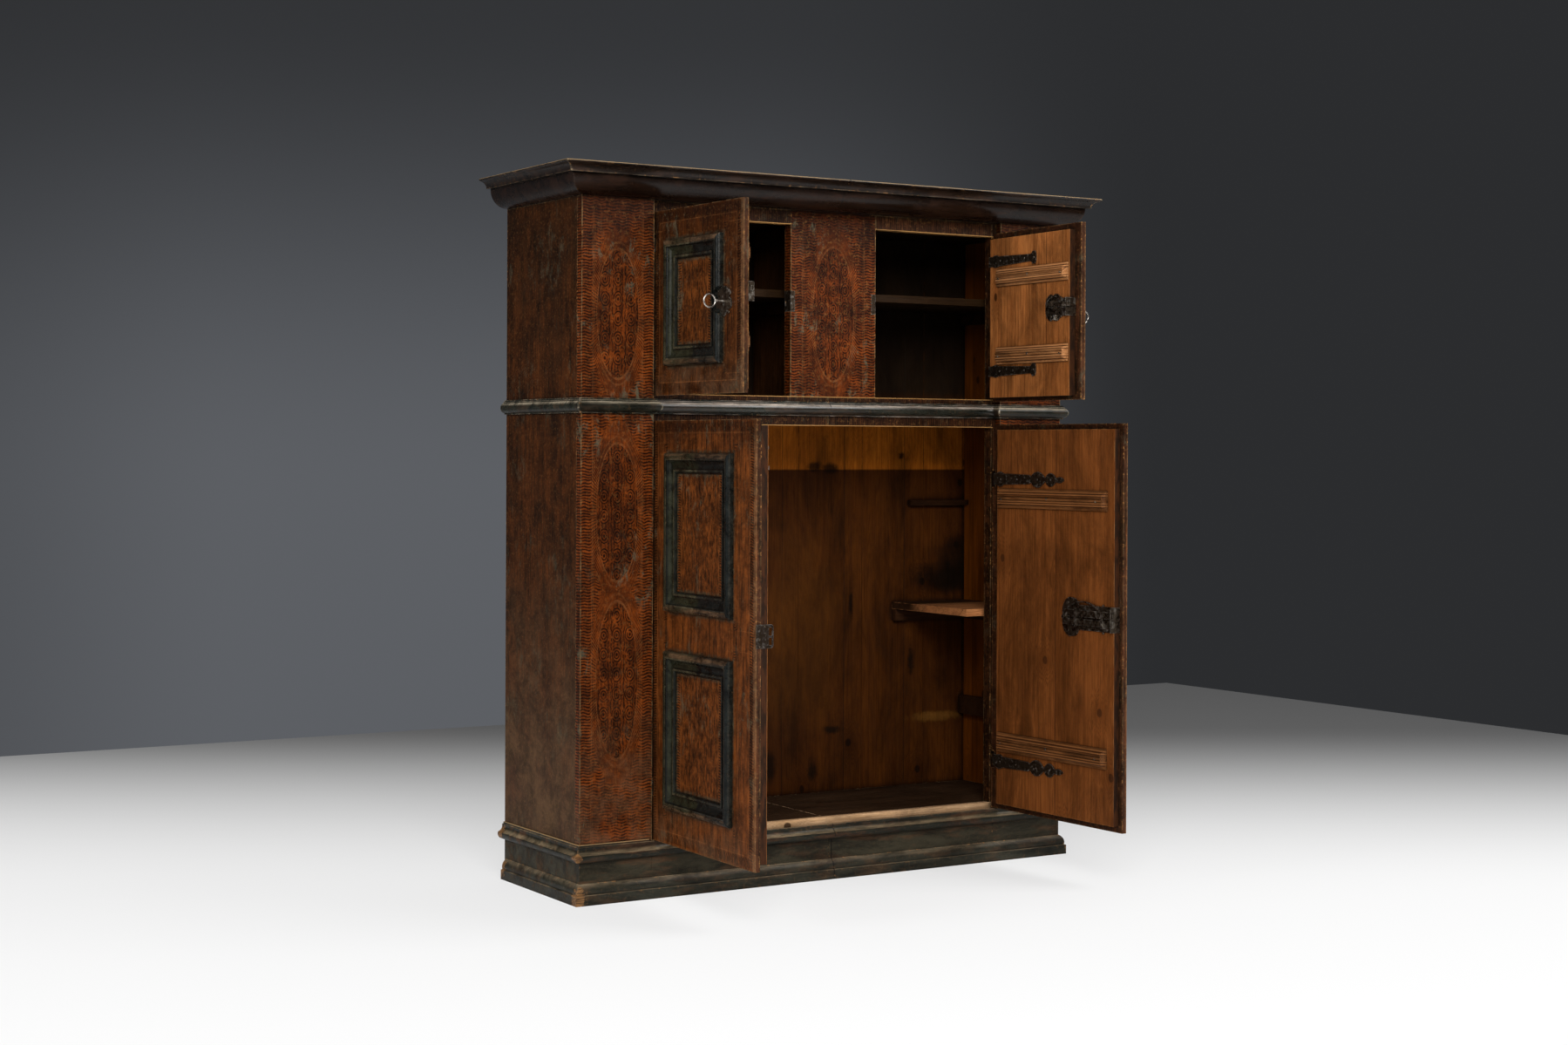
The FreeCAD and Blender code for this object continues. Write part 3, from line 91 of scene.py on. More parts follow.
@dataclass(frozen=True, eq=False)
class Signal:
    """An output socket of a tree, with Python's operators for its maths."""

    bench: "Bench"
    socket: bpy.types.NodeSocket

    def _with(self, operation: str, left: Any, right: Any = 0.0) -> "Signal":
        """Return a new signal made of two values, by the kind of node that suits them.

        Args:
            operation: ADD, SUBTRACT, MULTIPLY or DIVIDE, or any other operation of a Math node.
            left: A signal or a number.
            right: A signal or a number.

        Returns:
            The result as a signal.
        """
        kinds = {item.socket.type for item in (left, right) if isinstance(item, Signal)}
        if "RGBA" in kinds:
            settings = {"data_type": "RGBA", "blend_type": operation, "clamp_result": False}
            return self.bench.node("ShaderNodeMix", settings, {0: 1.0, 6: left, 7: right}, 2)
        if "VECTOR" in kinds:
            return self.bench.node("ShaderNodeVectorMath", {"operation": operation}, {0: left, 1: right})
        return self.bench.node("ShaderNodeMath", {"operation": operation}, {0: left, 1: right})

    def __add__(self, other: Any) -> "Signal":
        """Return self + other."""
        return self._with("ADD", self, other)

    def __sub__(self, other: Any) -> "Signal":
        """Return self - other."""
        return self._with("SUBTRACT", self, other)

    def __rsub__(self, other: Any) -> "Signal":
        """Return other - self."""
        return self._with("SUBTRACT", other, self)

    def __mul__(self, other: Any) -> "Signal":
        """Return self * other."""
        return self._with("MULTIPLY", self, other)

    def __truediv__(self, other: Any) -> "Signal":
        """Return self / other."""
        return self._with("DIVIDE", self, other)

    def __pow__(self, other: Any) -> "Signal":
        """Return self to the power of other."""
        return self._with("POWER", self, other)

    def __abs__(self) -> "Signal":
        """Return the distance from zero."""
        return self._with("ABSOLUTE", self)

    def lower_of(self, other: Any) -> "Signal":
        """Return the lower of two values."""
        return self._with("MINIMUM", self, other)

    def higher_of(self, other: Any) -> "Signal":
        """Return the higher of two values."""
        return self._with("MAXIMUM", self, other)

    def whole(self) -> "Signal":
        """Return the next whole number below."""
        return self._with("FLOOR", self)

    def within(self, length: float) -> "Signal":
        """Return the distance into the current stretch of a repeated length."""
        return self._with("FLOORED_MODULO", self, length)

    def turn_from(self, other: "Signal") -> "Signal":
        """Return the angle of a direction, in radians, whose two parts are other and self."""
        return self._with("ARCTAN2", self, other)

    def wave(self, length: float) -> "Signal":
        """Return a sine that repeats after a length."""
        turned = self * (FULL_TURN / length)
        return turned._with("SINE", turned)

    def smooth(self, low: float, high: float, start: float = 0.0, end: float = 1.0) -> "Signal":
        """Return a soft step.

        Args:
            low: The value where the step starts.
            high: The value where the step ends.
            start: What the step starts at.
            end: What the step ends at.

        Returns:
            The step as a signal.
        """
        sockets = {0: self, 1: low, 2: high, 3: start, 4: end}
        return self.bench.node("ShaderNodeMapRange", {"interpolation_type": "SMOOTHSTEP"}, sockets)

    def under(self, share: Any, cover: Any) -> "Signal":
        """Return this colour with a share of another laid over it."""
        return self.bench.blend(share, self, cover)

    def fade(self, low: float, high: float) -> "Signal":
        """Return 1 below the low value and 0 above the high one, with a soft step between them."""
        return self.smooth(low, high, 1.0, 0.0)

    def line(self, middle: float, width: float, soft: float = 0.8) -> "Signal":
        """Return 1 on a line of a width round a middle value, and 0 away from it."""
        return abs(self - middle).fade(width / 2, width / 2 + soft)


class Bench:
    """A tree of nodes, each made by one method."""

    def __init__(self, tree: bpy.types.NodeTree) -> None:
        """Start with an empty tree.

        Args:
            tree: The tree to fill.
        """
        self.tree = tree
        tree.nodes.clear()

    def node(
            self, kind: str, settings: dict[str, Any] | None = None, sockets: dict[Any, Any] | None = None,
            output: Any = 0) -> Signal | None:
        """Make a node, set it up and feed it.

        Args:
            kind: The node's type.
            settings: Its properties.
            sockets: Numbers, colours or signals by the input's name or number.
            output: The name or number of the output that is wanted.

        Returns:
            The wanted output as a signal, or None from a node without outputs.
        """
        made = self.tree.nodes.new(kind)
        for key, value in (settings or {}).items():
            setattr(made, key, value)
        for key, value in (sockets or {}).items():
            socket = made.inputs[key]
            if isinstance(value, Signal):
                self.tree.links.new(value.socket, socket)
            else:
                socket.default_value = self._fitted(value, socket)
        return Signal(self, made.outputs[output]) if made.outputs else None

    @staticmethod
    def _fitted(value: Any, socket: bpy.types.NodeSocket) -> Any:
        """Return a number or a colour in the form that a socket takes."""
        if socket.type == "RGBA":
            return (value, value, value, 1.0) if isinstance(value, (int, float)) else (*value[:3], 1.0)
        if socket.type == "VECTOR" and isinstance(value, (int, float)):
            return (value, value, value)
        return value

    def also(self, signal: Signal, output: Any) -> Signal:
        """Return another output of the node that a signal comes from."""
        return Signal(self, signal.socket.node.outputs[output])

    def split(self, vector: Signal) -> tuple[Signal, Signal, Signal]:
        """Return the three numbers of a vector."""
        first = self.node("ShaderNodeSeparateXYZ", None, {0: vector})
        return first, self.also(first, 1), self.also(first, 2)

    def join(self, x: Any, y: Any, z: Any) -> Signal:
        """Return a vector of three numbers."""
        return self.node("ShaderNodeCombineXYZ", None, {0: x, 1: y, 2: z})

    def blend(self, share: Any, first: Any, second: Any) -> Signal:
        """Return a colour between two colours."""
        return self.node(
            "ShaderNodeMix", {"data_type": "RGBA", "blend_type": "MIX"}, {0: share, 6: first, 7: second}, 2)


# ---------------------------------------------------------------------------------------------------------------
# Where things are


@dataclass(frozen=True)
class Place:
    """A frame that patterns and small pieces are laid out in, as it stands at rest."""

    hinge_x: float = 0.0
    hinge_y: float = 0.0
    turn: float = 0.0
    side: int = -1

    def matrix(self) -> Matrix:
        """Return the matrix from this frame in millimetres to the row frame in metres."""
        flip = Matrix.Diagonal((-1.0 if self.side > 0 else 1.0, 1.0, 1.0, 1.0))
        turned = Matrix.Rotation(math.radians(self.side * self.turn), 4, "Z")
        moved = Matrix.Translation((self.hinge_x * MM, self.hinge_y * MM, 0.0))
        return moved @ turned @ flip @ Matrix.Scale(MM, 4)

    def coordinates(self, bench: Bench) -> Signal:
        """Return the place on a surface in this frame, in millimetres."""
        here = bench.node("ShaderNodeTexCoord", None, None, "Object")
        flip = -MM if self.side > 0 else MM
        sockets = {
            "Vector": here, "Location": (self.hinge_x * MM, self.hinge_y * MM, 0.0),
            "Rotation": (0.0, 0.0, math.radians(self.side * self.turn)), "Scale": (flip, MM, MM)}
        return bench.node("ShaderNodeMapping", {"vector_type": "TEXTURE"}, sockets)


CARCASS = Place()


class Grain(Enum):
    """The way that the wood's fibres run in a piece's own frame."""

    ALONG = 0
    DEEP = 1
    UPRIGHT = 2


# ---------------------------------------------------------------------------------------------------------------
# Finishes


class Finish(Bench):
    """The nodes of one material, laid out in one frame."""

    def __init__(self, name: str, place: Place = CARCASS) -> None:
        """Start an empty finish.

        Args:
            name: The material's name.
            place: The frame that its patterns are laid out in.
        """
        self.material = bpy.data.materials.new(name)
        self.material.use_nodes = True
        super().__init__(self.material.node_tree)
        self.here = place.coordinates(self)

    @cached_property
    def axes(self) -> tuple[Signal, Signal, Signal]:
        """Return the three numbers of the place on the surface."""
        return self.split(self.here)

    def noise(
            self, size: float, detail: float = 2.0, rough: float = 0.5, swirl: float = 0.0,
            place: Signal | None = None) -> Signal:
        """Return soft random values from 0 to 1.

        Args:
            size: About how large the spots are, in millimetres.
            detail: How many finer layers there are.
            rough: How strong the finer layers are.
            swirl: How much the spots are twisted.
            place: Where to read instead of the place on the surface.

        Returns:
            The values as a signal.
        """
        return self.node("ShaderNodeTexNoise", None, {
            "Vector": place or self.here, "Scale": 1 / size, "Detail": detail, "Roughness": rough,
            "Distortion": swirl})

    def edges(self, reach: float) -> Signal:
        """Return 1 close to an outside edge of the same piece, and 0 further in than a reach in millimetres."""
        settings = {"inside": True, "only_local": True, "samples": 8}
        open_share = self.node("ShaderNodeAmbientOcclusion", settings, {"Distance": reach * MM}, "AO")
        return open_share.fade(0.42, 0.90)

    def hollows(self, reach: float) -> Signal:
        """Return 1 deep in a corner or a groove, and 0 where nothing stands closer than a reach in millimetres: the
        mask of the soiling and painted shade laid into hollows.
        """
        open_share = self.node("ShaderNodeAmbientOcclusion", {"samples": 8}, {"Distance": reach * MM}, "AO")
        return open_share.fade(0.40, 0.92)

    def patina(self, colour: Signal, size: float, amount: float, place: Signal | None = None) -> Signal:
        """Return a colour made uneven by age, in spots of every size below a largest one.

        Args:
            colour: The even colour.
            size: The largest spots in millimetres.
            amount: How strong the spots are.
            place: Where to read instead of the place on the surface.

        Returns:
            The uneven colour.
        """
        spots = self.noise(size, 8.0, 0.80, 0.4, place)
        return colour * spots.smooth(0.34, 0.66, max(0.05, 1.0 - 0.66 * amount), 1.0 + 0.66 * amount)

    def facing_up(self) -> Signal:
        """Return 1 on a face that looks up, 0 on an upright one and less than 0 on one that looks down."""
        return self.split(self.node("ShaderNodeTexCoord", None, None, "Normal"))[2]

    def surface(
            self, colour: Any, rough: Any, height: Signal | None = None, relief: float = 0.3, metal: Any = 0.0,
            coat: float = 0.0, shine: float = 0.08) -> bpy.types.Material:
        """Finish the material.

        Args:
            colour: The base colour.
            rough: The roughness.
            height: The relief in millimetres, or None where there is none.
            relief: How strongly the relief shows.
            metal: How metallic the surface is.
            coat: How much clear coat lies on top.
            shine: The specular level.

        Returns:
            The finished material.
        """
        sockets = {
            "Base Color": colour, "Roughness": rough, "Metallic": metal, "Coat Weight": coat,
            "Coat Roughness": COAT_ROUGHNESS, "Specular IOR Level": shine}
        if height is not None:
            sockets["Normal"] = self.node(
                "ShaderNodeBump", None, {"Strength": relief, "Distance": MM, "Height": height}, "Normal")
        shader = self.node("ShaderNodeBsdfPrincipled", None, sockets, "BSDF")
        self.node("ShaderNodeOutputMaterial", None, {"Surface": shader})
        return self.material


@dataclass(frozen=True)
class Wear:
    """How paint has been rubbed at its edges, scuffed on its faces and chipped down to the wood, with soiling and
    painted shade deep in its hollows.
    """

    rubbed: Colour = (0.092, 0.060, 0.028)
    scuffed: Colour = (0.088, 0.084, 0.052)
    bare: Colour = (0.30, 0.135, 0.040)
    grime_and_shade: Colour = (0.006, 0.004, 0.0022)
    rub: float = 0.75
    scuff: float = 0.70
    chip: float = 0.85
    dirt_and_shade: float = 0.75
    spots: float = 60.0
    uneven: float = 0.75
    reach: float = 5.0

    def lay(self, finish: Finish, colour: Signal, where: Any = 1.0) -> tuple[Signal, Signal]:
        """Wear a painted colour.

        Args:
            finish: The nodes to add to.
            colour: The paint's colour.
            where: The share of the wear that an edge gets.

        Returns:
            The worn colour and the mask of the chips.
        """
        colour = finish.patina(colour, self.spots, self.uneven)
        # soiling and painted shade: darker deep in corners and grooves
        colour = colour.under(finish.hollows(14.0) * self.dirt_and_shade, self.grime_and_shade)
        edge = finish.edges(self.reach) * where
        patch = finish.noise(26.0, 4.0, 0.62)
        rub = edge * patch.smooth(0.40, 0.58) * self.rub
        scuffs = finish.noise(30.0, 7.0, 0.82, 0.5, place=finish.here * (1.0, 1.0, 0.5)).smooth(0.53, 0.62)
        scuffs = scuffs * finish.noise(190.0, 2.0).smooth(0.48, 0.58) * self.scuff
        colour = colour.under(scuffs, self.scuffed)
        colour = colour.under(rub, self.rubbed)
        chips = (edge * 0.85 + 0.15) * finish.noise(8.0, 4.0, 0.7).smooth(0.56, 0.62) * self.chip
        return finish.blend(chips, colour, self.bare), chips


@dataclass(frozen=True)
class Stain:
    """A soft spot on an upright board: its middle, half width, half height, colour and strength."""

    across: float
    up: float
    half_wide: float
    half_high: float
    colour: Colour = (0.004, 0.0022, 0.0008)
    strength: float = 0.9

    def lay(self, finish: Finish, colour: Signal) -> Signal:
        """Lay the spot over a colour.

        Args:
            finish: The nodes to add to.
            colour: The colour without the spot.

        Returns:
            The spotted colour.
        """
        across, _, up = finish.axes
        wide = (across - self.across) / self.half_wide
        tall = (up - self.up) / self.half_high
        ragged = (finish.noise(min(self.half_wide, self.half_high) * 0.9, 4.0, 0.65) - 0.5) * 1.1
        reach = (wide * wide + tall * tall) ** 0.5 + ragged
        return finish.blend(reach.smooth(0.25, 1.0, self.strength, 0.0), colour, self.colour)


@dataclass(frozen=True)
class Pine:
    """Bare pine that has gone dark with age."""

    light: Colour = (0.300, 0.112, 0.029)
    middle: Colour = (0.165, 0.050, 0.012)
    dark: Colour = (0.045, 0.014, 0.004)
    grain: Grain = Grain.UPRIGHT
    board: float = 230.0
    knot_size: float = 190.0
    stain: float = 0.5
    scratches: float = 0.0
    golden: Colour | None = None
    golden_low: float = 0.0
    golden_high: float = 0.0
    painted_shade_from: float = 0.0
    shade_behind: float = 0.0
    shade_over: float = 90.0
    plain_behind: float = 0.0
    stains: tuple[Stain, ...] = ()
    uneven: float = 0.55
    dirt_and_shade: float = 0.8
    seed: float = 0.0

    def stretched(self, here: Signal) -> Signal:
        """Return a place whose spots come out long in the way of the fibres."""
        return here * tuple(0.35 if axis == self.grain.value else 1.0 for axis in range(3))

    def wood(self, finish: Finish) -> tuple[Signal, Signal]:
        """Make the wood's figure.

        Args:
            finish: The nodes to add to.

        Returns:
            The colour and the relief in millimetres.
        """
        parts = list(finish.axes)
        run = parts.pop(self.grain.value) + self.seed
        across = parts[0] + parts[1] + self.seed * 0.37
        number = (across / self.board).whole()
        own = finish.node("ShaderNodeTexWhiteNoise", {"noise_dimensions": "1D"}, {"W": number}, "Value")
        seam = abs(across.within(self.board) - self.board / 2).smooth(self.board / 2 - 1.4, self.board / 2 - 0.4)
        run = run + own * 900.0
        depth = parts[1] - parts[0]
        long_way = finish.join(across, run * 0.05, depth)
        eased = finish.join(across, run * 0.42, depth)
        flat = finish.join(across + (finish.noise(50.0, 2.0, place=eased) - 0.5) * 16.0, run * 0.8, 0.0)
        cells = finish.node(
            "ShaderNodeTexVoronoi", {"voronoi_dimensions": "2D", "feature": "F1"},
            {"Vector": flat, "Scale": 1 / self.knot_size, "Randomness": 1.0}, "Distance")
        picked = finish.split(finish.also(cells, "Color"))[0].smooth(0.50, 0.52)
        reach = cells * self.knot_size
        halo = reach.fade(5.0, 62.0) * picked
        knots = reach.fade(7.5, 10.5) * picked
        rings = finish.noise(36.0, 2.0, 0.45, 0.3, place=long_way) * 13.0 + halo * 4.2
        late = abs(rings.within(1.0) - 0.5).smooth(0.12, 0.46)
        hair = finish.noise(1.9, 2.0, 0.6, place=finish.join(across, run * 0.012, depth))
        streak = finish.noise(13.0, 3.0, 0.6, place=finish.join(across, run * 0.03, depth))
        cloud = finish.noise(120.0, 4.0, 0.6, place=eased)
        colour = finish.blend(late * hair.smooth(0.25, 0.65) * 0.85, self.light, self.middle)
        colour = colour.under(streak.smooth(0.42, 0.68) * 0.65, self.middle)
        colour = colour.under((own - 0.5).higher_of(0.0) * 0.7, self.middle)
        colour = colour.under(halo * halo * 0.55, self.middle)
        colour = colour.under(cloud.smooth(0.50, 0.72) * self.stain, self.dark)
        colour = colour.under(hair.smooth(0.58, 0.74) * 0.4, self.dark)
        colour = colour.under((knots * 0.9 + seam).lower_of(1.0), self.dark)
        if self.scratches:
            thin = finish.noise(2.2, 2.0, 0.6, place=finish.join(across * 0.025, run, depth)).smooth(0.66, 0.74)
            share = thin * cloud.smooth(0.42, 0.6) * self.scratches
            colour = colour.under(share, scaled(self.light, 1.9))
        height = late * -0.3 + hair * 0.5 + knots * 0.5 - seam * 0.8
        return colour, height

    def dress(self, name: str, place: Place = CARCASS, grooves: tuple[float, ...] = ()) -> bpy.types.Material:
        """Make the finish for a piece.

        Args:
            name: The material's name.
            place: The frame that the figure is laid out in.
            grooves: Heights of a worked groove that is painted dark as shade, with a painted highlight on the rise
                just above it.

        Returns:
            The material.
        """
        finish = Finish(name, place)
        colour, height = self.wood(finish)
        plain = colour * (1.9, 2.3, 2.8)
        _, deep, up = finish.axes
        patch = finish.noise(20.0, 3.0, 0.6)
        if self.golden:
            low, high = self.golden_low, self.golden_high
            band = up.smooth(low - 2.0, low + 4.0) * up.fade(high, high + 40.0)
            colour = colour.under(band, colour * finish.join(*self.golden))
        # painted shade: nearly black above a height
        if self.painted_shade_from:
            shade = up.smooth(self.painted_shade_from, self.painted_shade_from + 60.0) * 0.93
            colour = colour.under(shade, (0.010, 0.006, 0.003))
        # painted shade: darker further in from a depth, behind the front edge
        if self.shade_behind:
            shade = deep.smooth(self.shade_behind, self.shade_behind + self.shade_over) * 0.97
            colour = colour.under(shade, scaled(self.dark, 0.6))
        for stain in self.stains:
            colour = stain.lay(finish, colour)
        if self.plain_behind:
            colour = colour.under(deep.smooth(self.plain_behind - 0.5, self.plain_behind + 0.5), plain)
        colour = finish.patina(colour, 110.0, self.uneven, place=self.stretched(finish.here))
        # soiling and painted shade: darker deep in corners
        colour = colour.under(finish.hollows(22.0) * self.dirt_and_shade, scaled(self.dark, 0.35))
        # painted shade in each groove and a painted highlight just above it
        for level in grooves:
            colour = colour.under(up.line(level, 1.8) * 0.85, self.dark)
            colour = colour.under(up.line(level + 3.4, 2.0) * 0.55, scaled(self.light, 1.7))
        worn = finish.edges(3.5) * patch.smooth(0.40, 0.58)
        colour = colour.under(worn * 0.7, self.light)
        rough = patch.smooth(0.3, 0.7, 0.46, 0.64)
        return finish.surface(colour, rough, height, 0.5)


@dataclass(frozen=True)
class Ovals:
    """The ovals drawn on a grained board: their middle across it, half width, and middles and half heights."""

    middle: float
    half_width: float
    rows: tuple[tuple[float, float], ...]


@dataclass(frozen=True)
class Comb:
    """A glaze combed to look like fine wood: borders of short strokes, and loops inside drawn ovals."""

    ground: Colour = (0.146, 0.0365, 0.0062)
    glaze: Colour = (0.009, 0.0026, 0.0009)
    drawn: Colour = (0.23, 0.085, 0.026)
    dusty: Colour = (0.115, 0.058, 0.028)
    border: float = 29.0
    stroke: float = 7.6
    loop_wide: float = 37.0
    loop_high: float = 50.0
    front: float = -221.0
    dark_from: float = 1605.0
    dark_to: float = 1775.0
    arris: Colour = (0.190, 0.115, 0.050)
    wear: Wear = Wear()

    def strokes(self, finish: Finish, run: Signal, cross: Signal) -> Signal:
        """Return short wavy strokes, one after the other.

        Args:
            finish: The nodes to add to.
            run: The distance along the row of strokes.
            cross: The distance along each stroke.

        Returns:
            The mask of the strokes.
        """
        bend = (finish.noise(24.0, 2.0) - 0.5) * 9.0
        rows = (run + bend + cross.wave(31.0) * 1.4).wave(self.stroke)
        return rows.smooth(-0.15, 0.30) * finish.noise(9.0, 2.0).smooth(0.22, 0.36)

    @staticmethod
    def ring(
            rows: Signal, columns: Signal, sideways: Signal, upwards: Signal, start: float,
            end: float) -> tuple[Signal, Signal]:
        """Draw a band of strokes that stand square to an upright rectangle.

        Args:
            rows: The level strokes.
            columns: The upright strokes.
            sideways: The distance to the nearer upright side.
            upwards: The distance to the nearer level side.
            start: Where the band starts, away from the rectangle.
            end: Where it ends.

        Returns:
            The mask of the strokes and the mask of the thin line beyond them.
        """
        level = (sideways - upwards).smooth(-0.5, 0.5)
        reach = sideways.lower_of(upwards)
        band = reach.smooth(start - 1.5, start + 1.0) * reach.fade(end - 1.0, end + 2.0)
        return band * (rows * (1.0 - level) + columns * level), reach.line(end + 5.0, 1.2)

    def field(self, finish: Finish, ovals: Ovals, strokes: Signal) -> tuple[Signal, Signal]:
        """Draw what lies between the borders.

        Args:
            finish: The nodes to add to.
            ovals: Where the ovals are.
            strokes: The strokes of the borders.

        Returns:
            The mask of the dark glaze and the mask of the thin light lines.
        """
        across, _, up = finish.axes
        nearest = turned = None
        for middle, half_height in ovals.rows:
            wide = (across - ovals.middle) / ovals.half_width
            tall = (up - middle) / half_height
            ring = (wide * wide + tall * tall) ** 0.5
            turn = tall.turn_from(wide) * half_height
            if nearest is None:
                nearest, turned = ring, turn
                continue
            share = (nearest - ring).smooth(-0.001, 0.001)
            turned = turned * (1.0 - share) + turn * share
            nearest = nearest.lower_of(ring)
        sway = (finish.noise(26.0, 3.0, 0.6) - 0.5) * 14.0
        reach = nearest * ovals.half_width
        lines = reach.line(ovals.half_width, 1.5) + reach.line(ovals.half_width + 5.5, 1.2) * 0.6
        inside = nearest.fade(0.97, 1.0)
        near = (across - ovals.middle + self.loop_wide * 0.5).within(self.loop_wide) - self.loop_wide / 2
        rise = up.within(self.loop_high) - self.loop_high / 2
        eye = (near * near + rise * rise * 0.5) ** 0.5 + sway * 0.35
        rings = eye.wave(5.6).smooth(-0.2, 0.6) * eye.smooth(13.0, 18.0, 1.0, 0.15) + eye.smooth(1.5, 3.5, 0.9, 0.0)
        grain = (across + sway * 1.3).wave(9.0).smooth(0.1, 0.9) * eye.smooth(12.0, 17.0) * 0.7
        rays = (turned + sway * 0.6).wave(7.0).smooth(-0.1, 0.6)
        fringe = reach.fade(ovals.half_width + 17.0, ovals.half_width + 22.0)
        outside = fringe * rays + (1.0 - fringe) * strokes
        broken = finish.noise(12.0, 3.0, 0.6).smooth(0.30, 0.52)
        dark = (inside * (rings * 1.15 + grain + 0.26) + (1.0 - inside) * outside * 0.95) * broken
        return dark, lines * broken

    def dress(self, name: str, left: float, right: float, ovals: Ovals) -> bpy.types.Material:
        """Make the finish for an upright board of the front.

        Args:
            name: The material's name.
            left: The board's left edge.
            right: The board's right edge.
            ovals: The ovals drawn between the borders.

        Returns:
            The material.
        """
        finish = Finish(name)
        across, deep, up = finish.axes
        near = (across - left).lower_of(right - across)
        ragged = (finish.noise(7.0, 1.0) - 0.5) * 8.0
        border = (near + ragged).fade(self.border - 3.0, self.border + 1.0)
        strokes = self.strokes(finish, up, across)
        dark, lines = self.field(finish, ovals, strokes)
        lines = lines * (1.0 - border) + near.line(self.border + 3.0, 1.3) * 0.9
        lines = lines + near.line(self.border + 7.0, 1.0) * 0.5
        fibre = finish.noise(2.4, 3.0, 0.6, place=finish.here * (1.0, 1.0, 0.03))
        streak = finish.noise(17.0, 4.0, 0.6, place=finish.here * (1.0, 1.0, 0.06))
        cloud = finish.noise(75.0, 5.0, 0.62)
        mask = border * strokes + (1.0 - border) * dark
        mask = (mask * 0.9 + fibre.smooth(0.5, 0.72) * 0.45 + streak.smooth(0.52, 0.7) * 0.35).lower_of(0.96)
        ground = finish.blend(cloud.smooth(0.36, 0.66), self.ground, scaled(self.ground, 0.48))
        colour = finish.blend(mask, ground, self.glaze)
        colour = colour.under(lines * 0.28, self.drawn)
        colour = colour.under(up.smooth(self.dark_from, self.dark_to, 0.0, 0.72), self.glaze)
        low = up.fade(150.0, 560.0) * cloud.smooth(0.35, 0.6)
        colour = colour.under(low * 0.45, self.dusty)
        colour, chips = self.wear.lay(finish, colour, near.fade(12.0, 16.0))
        broken = finish.noise(17.0, 5.0, 0.75, place=finish.here * (1.0, 1.0, 0.5))
        arris = near.higher_of(deep - self.front).fade(1.0, 2.4) * broken.smooth(0.46, 0.58)
        colour = colour.under(arris * 0.7, self.arris)
        rough = cloud.smooth(0.3, 0.7, 0.40, 0.56)
        height = mask * 0.3 + fibre * 0.35 - chips * 0.5
        return finish.surface(colour, rough, height, 0.5)


@dataclass(frozen=True)
class StreakedPaint:
    """Thin red-brown paint with upright streaks, rubbed through where hands and boards touched it."""

    ground: Colour = (0.056, 0.0150, 0.0027)
    shade: Colour = (0.0080, 0.0036, 0.0011)
    dusty: Colour = (0.078, 0.042, 0.020)
    stretch: Point = (1.0, 1.0, 0.03)
    low_wear: float = 0.0
    high_shade: float = 0.0
    strokes: float = 0.0
    bright: Colour = (0.44, 0.23, 0.075)
    bright_levels: tuple[float, ...] = ()
    lining: Pine | None = None
    lined_within: float = 0.0
    wear: Wear = Wear(scuff=0.25)

    def dress(self, name: str) -> bpy.types.Material:
        """Make the finish for a plain painted board.

        Args:
            name: The material's name.

        Returns:
            The material.
        """
        finish = Finish(name)
        across, _, up = finish.axes
        fibre = finish.noise(4.0, 4.0, 0.7, place=finish.here * self.stretch)
        broad = finish.noise(13.0, 5.0, 0.72, place=finish.here * tuple(part ** 0.7 for part in self.stretch))
        cloud = finish.noise(130.0, 5.0, 0.62)
        mask = fibre.smooth(0.42, 0.60) * 0.45 + broad.smooth(0.42, 0.62) * 0.4
        if self.strokes:
            bend = (finish.noise(20.0, 2.0) - 0.5) * 9.0
            mask = mask + (across + bend).wave(7.0).smooth(-0.1, 0.5) * self.strokes
        colour = finish.blend(mask.lower_of(1.0), self.ground, self.shade)
        colour = colour.under(cloud.smooth(0.44, 0.70) * 0.6, self.shade)
        colour = colour.under(up.smooth(1250.0, 1700.0) * self.high_shade, self.shade)
        low = up.fade(140.0, 980.0) * self.low_wear
        dust = low * (cloud.smooth(0.30, 0.62, 0.35, 1.0) + fibre.smooth(0.5, 0.7) * 0.3)
        colour = colour.under(dust.lower_of(0.85), self.dusty)
        colour, chips = self.wear.lay(finish, colour)
        for level in self.bright_levels:
            worn = up.line(level, 1.6) * cloud.smooth(0.36, 0.50, 0.35, 1.0)
            colour = colour.under(worn * 0.8, self.bright)
        if self.lining:
            inside = abs(across).fade(self.lined_within, self.lined_within + 0.8)
            colour = colour.under(inside, self.lining.wood(finish)[0])
        rough = cloud.smooth(0.3, 0.7, 0.42, 0.60)
        return finish.surface(colour, rough, fibre * 0.5 - chips * 0.5, 0.5)


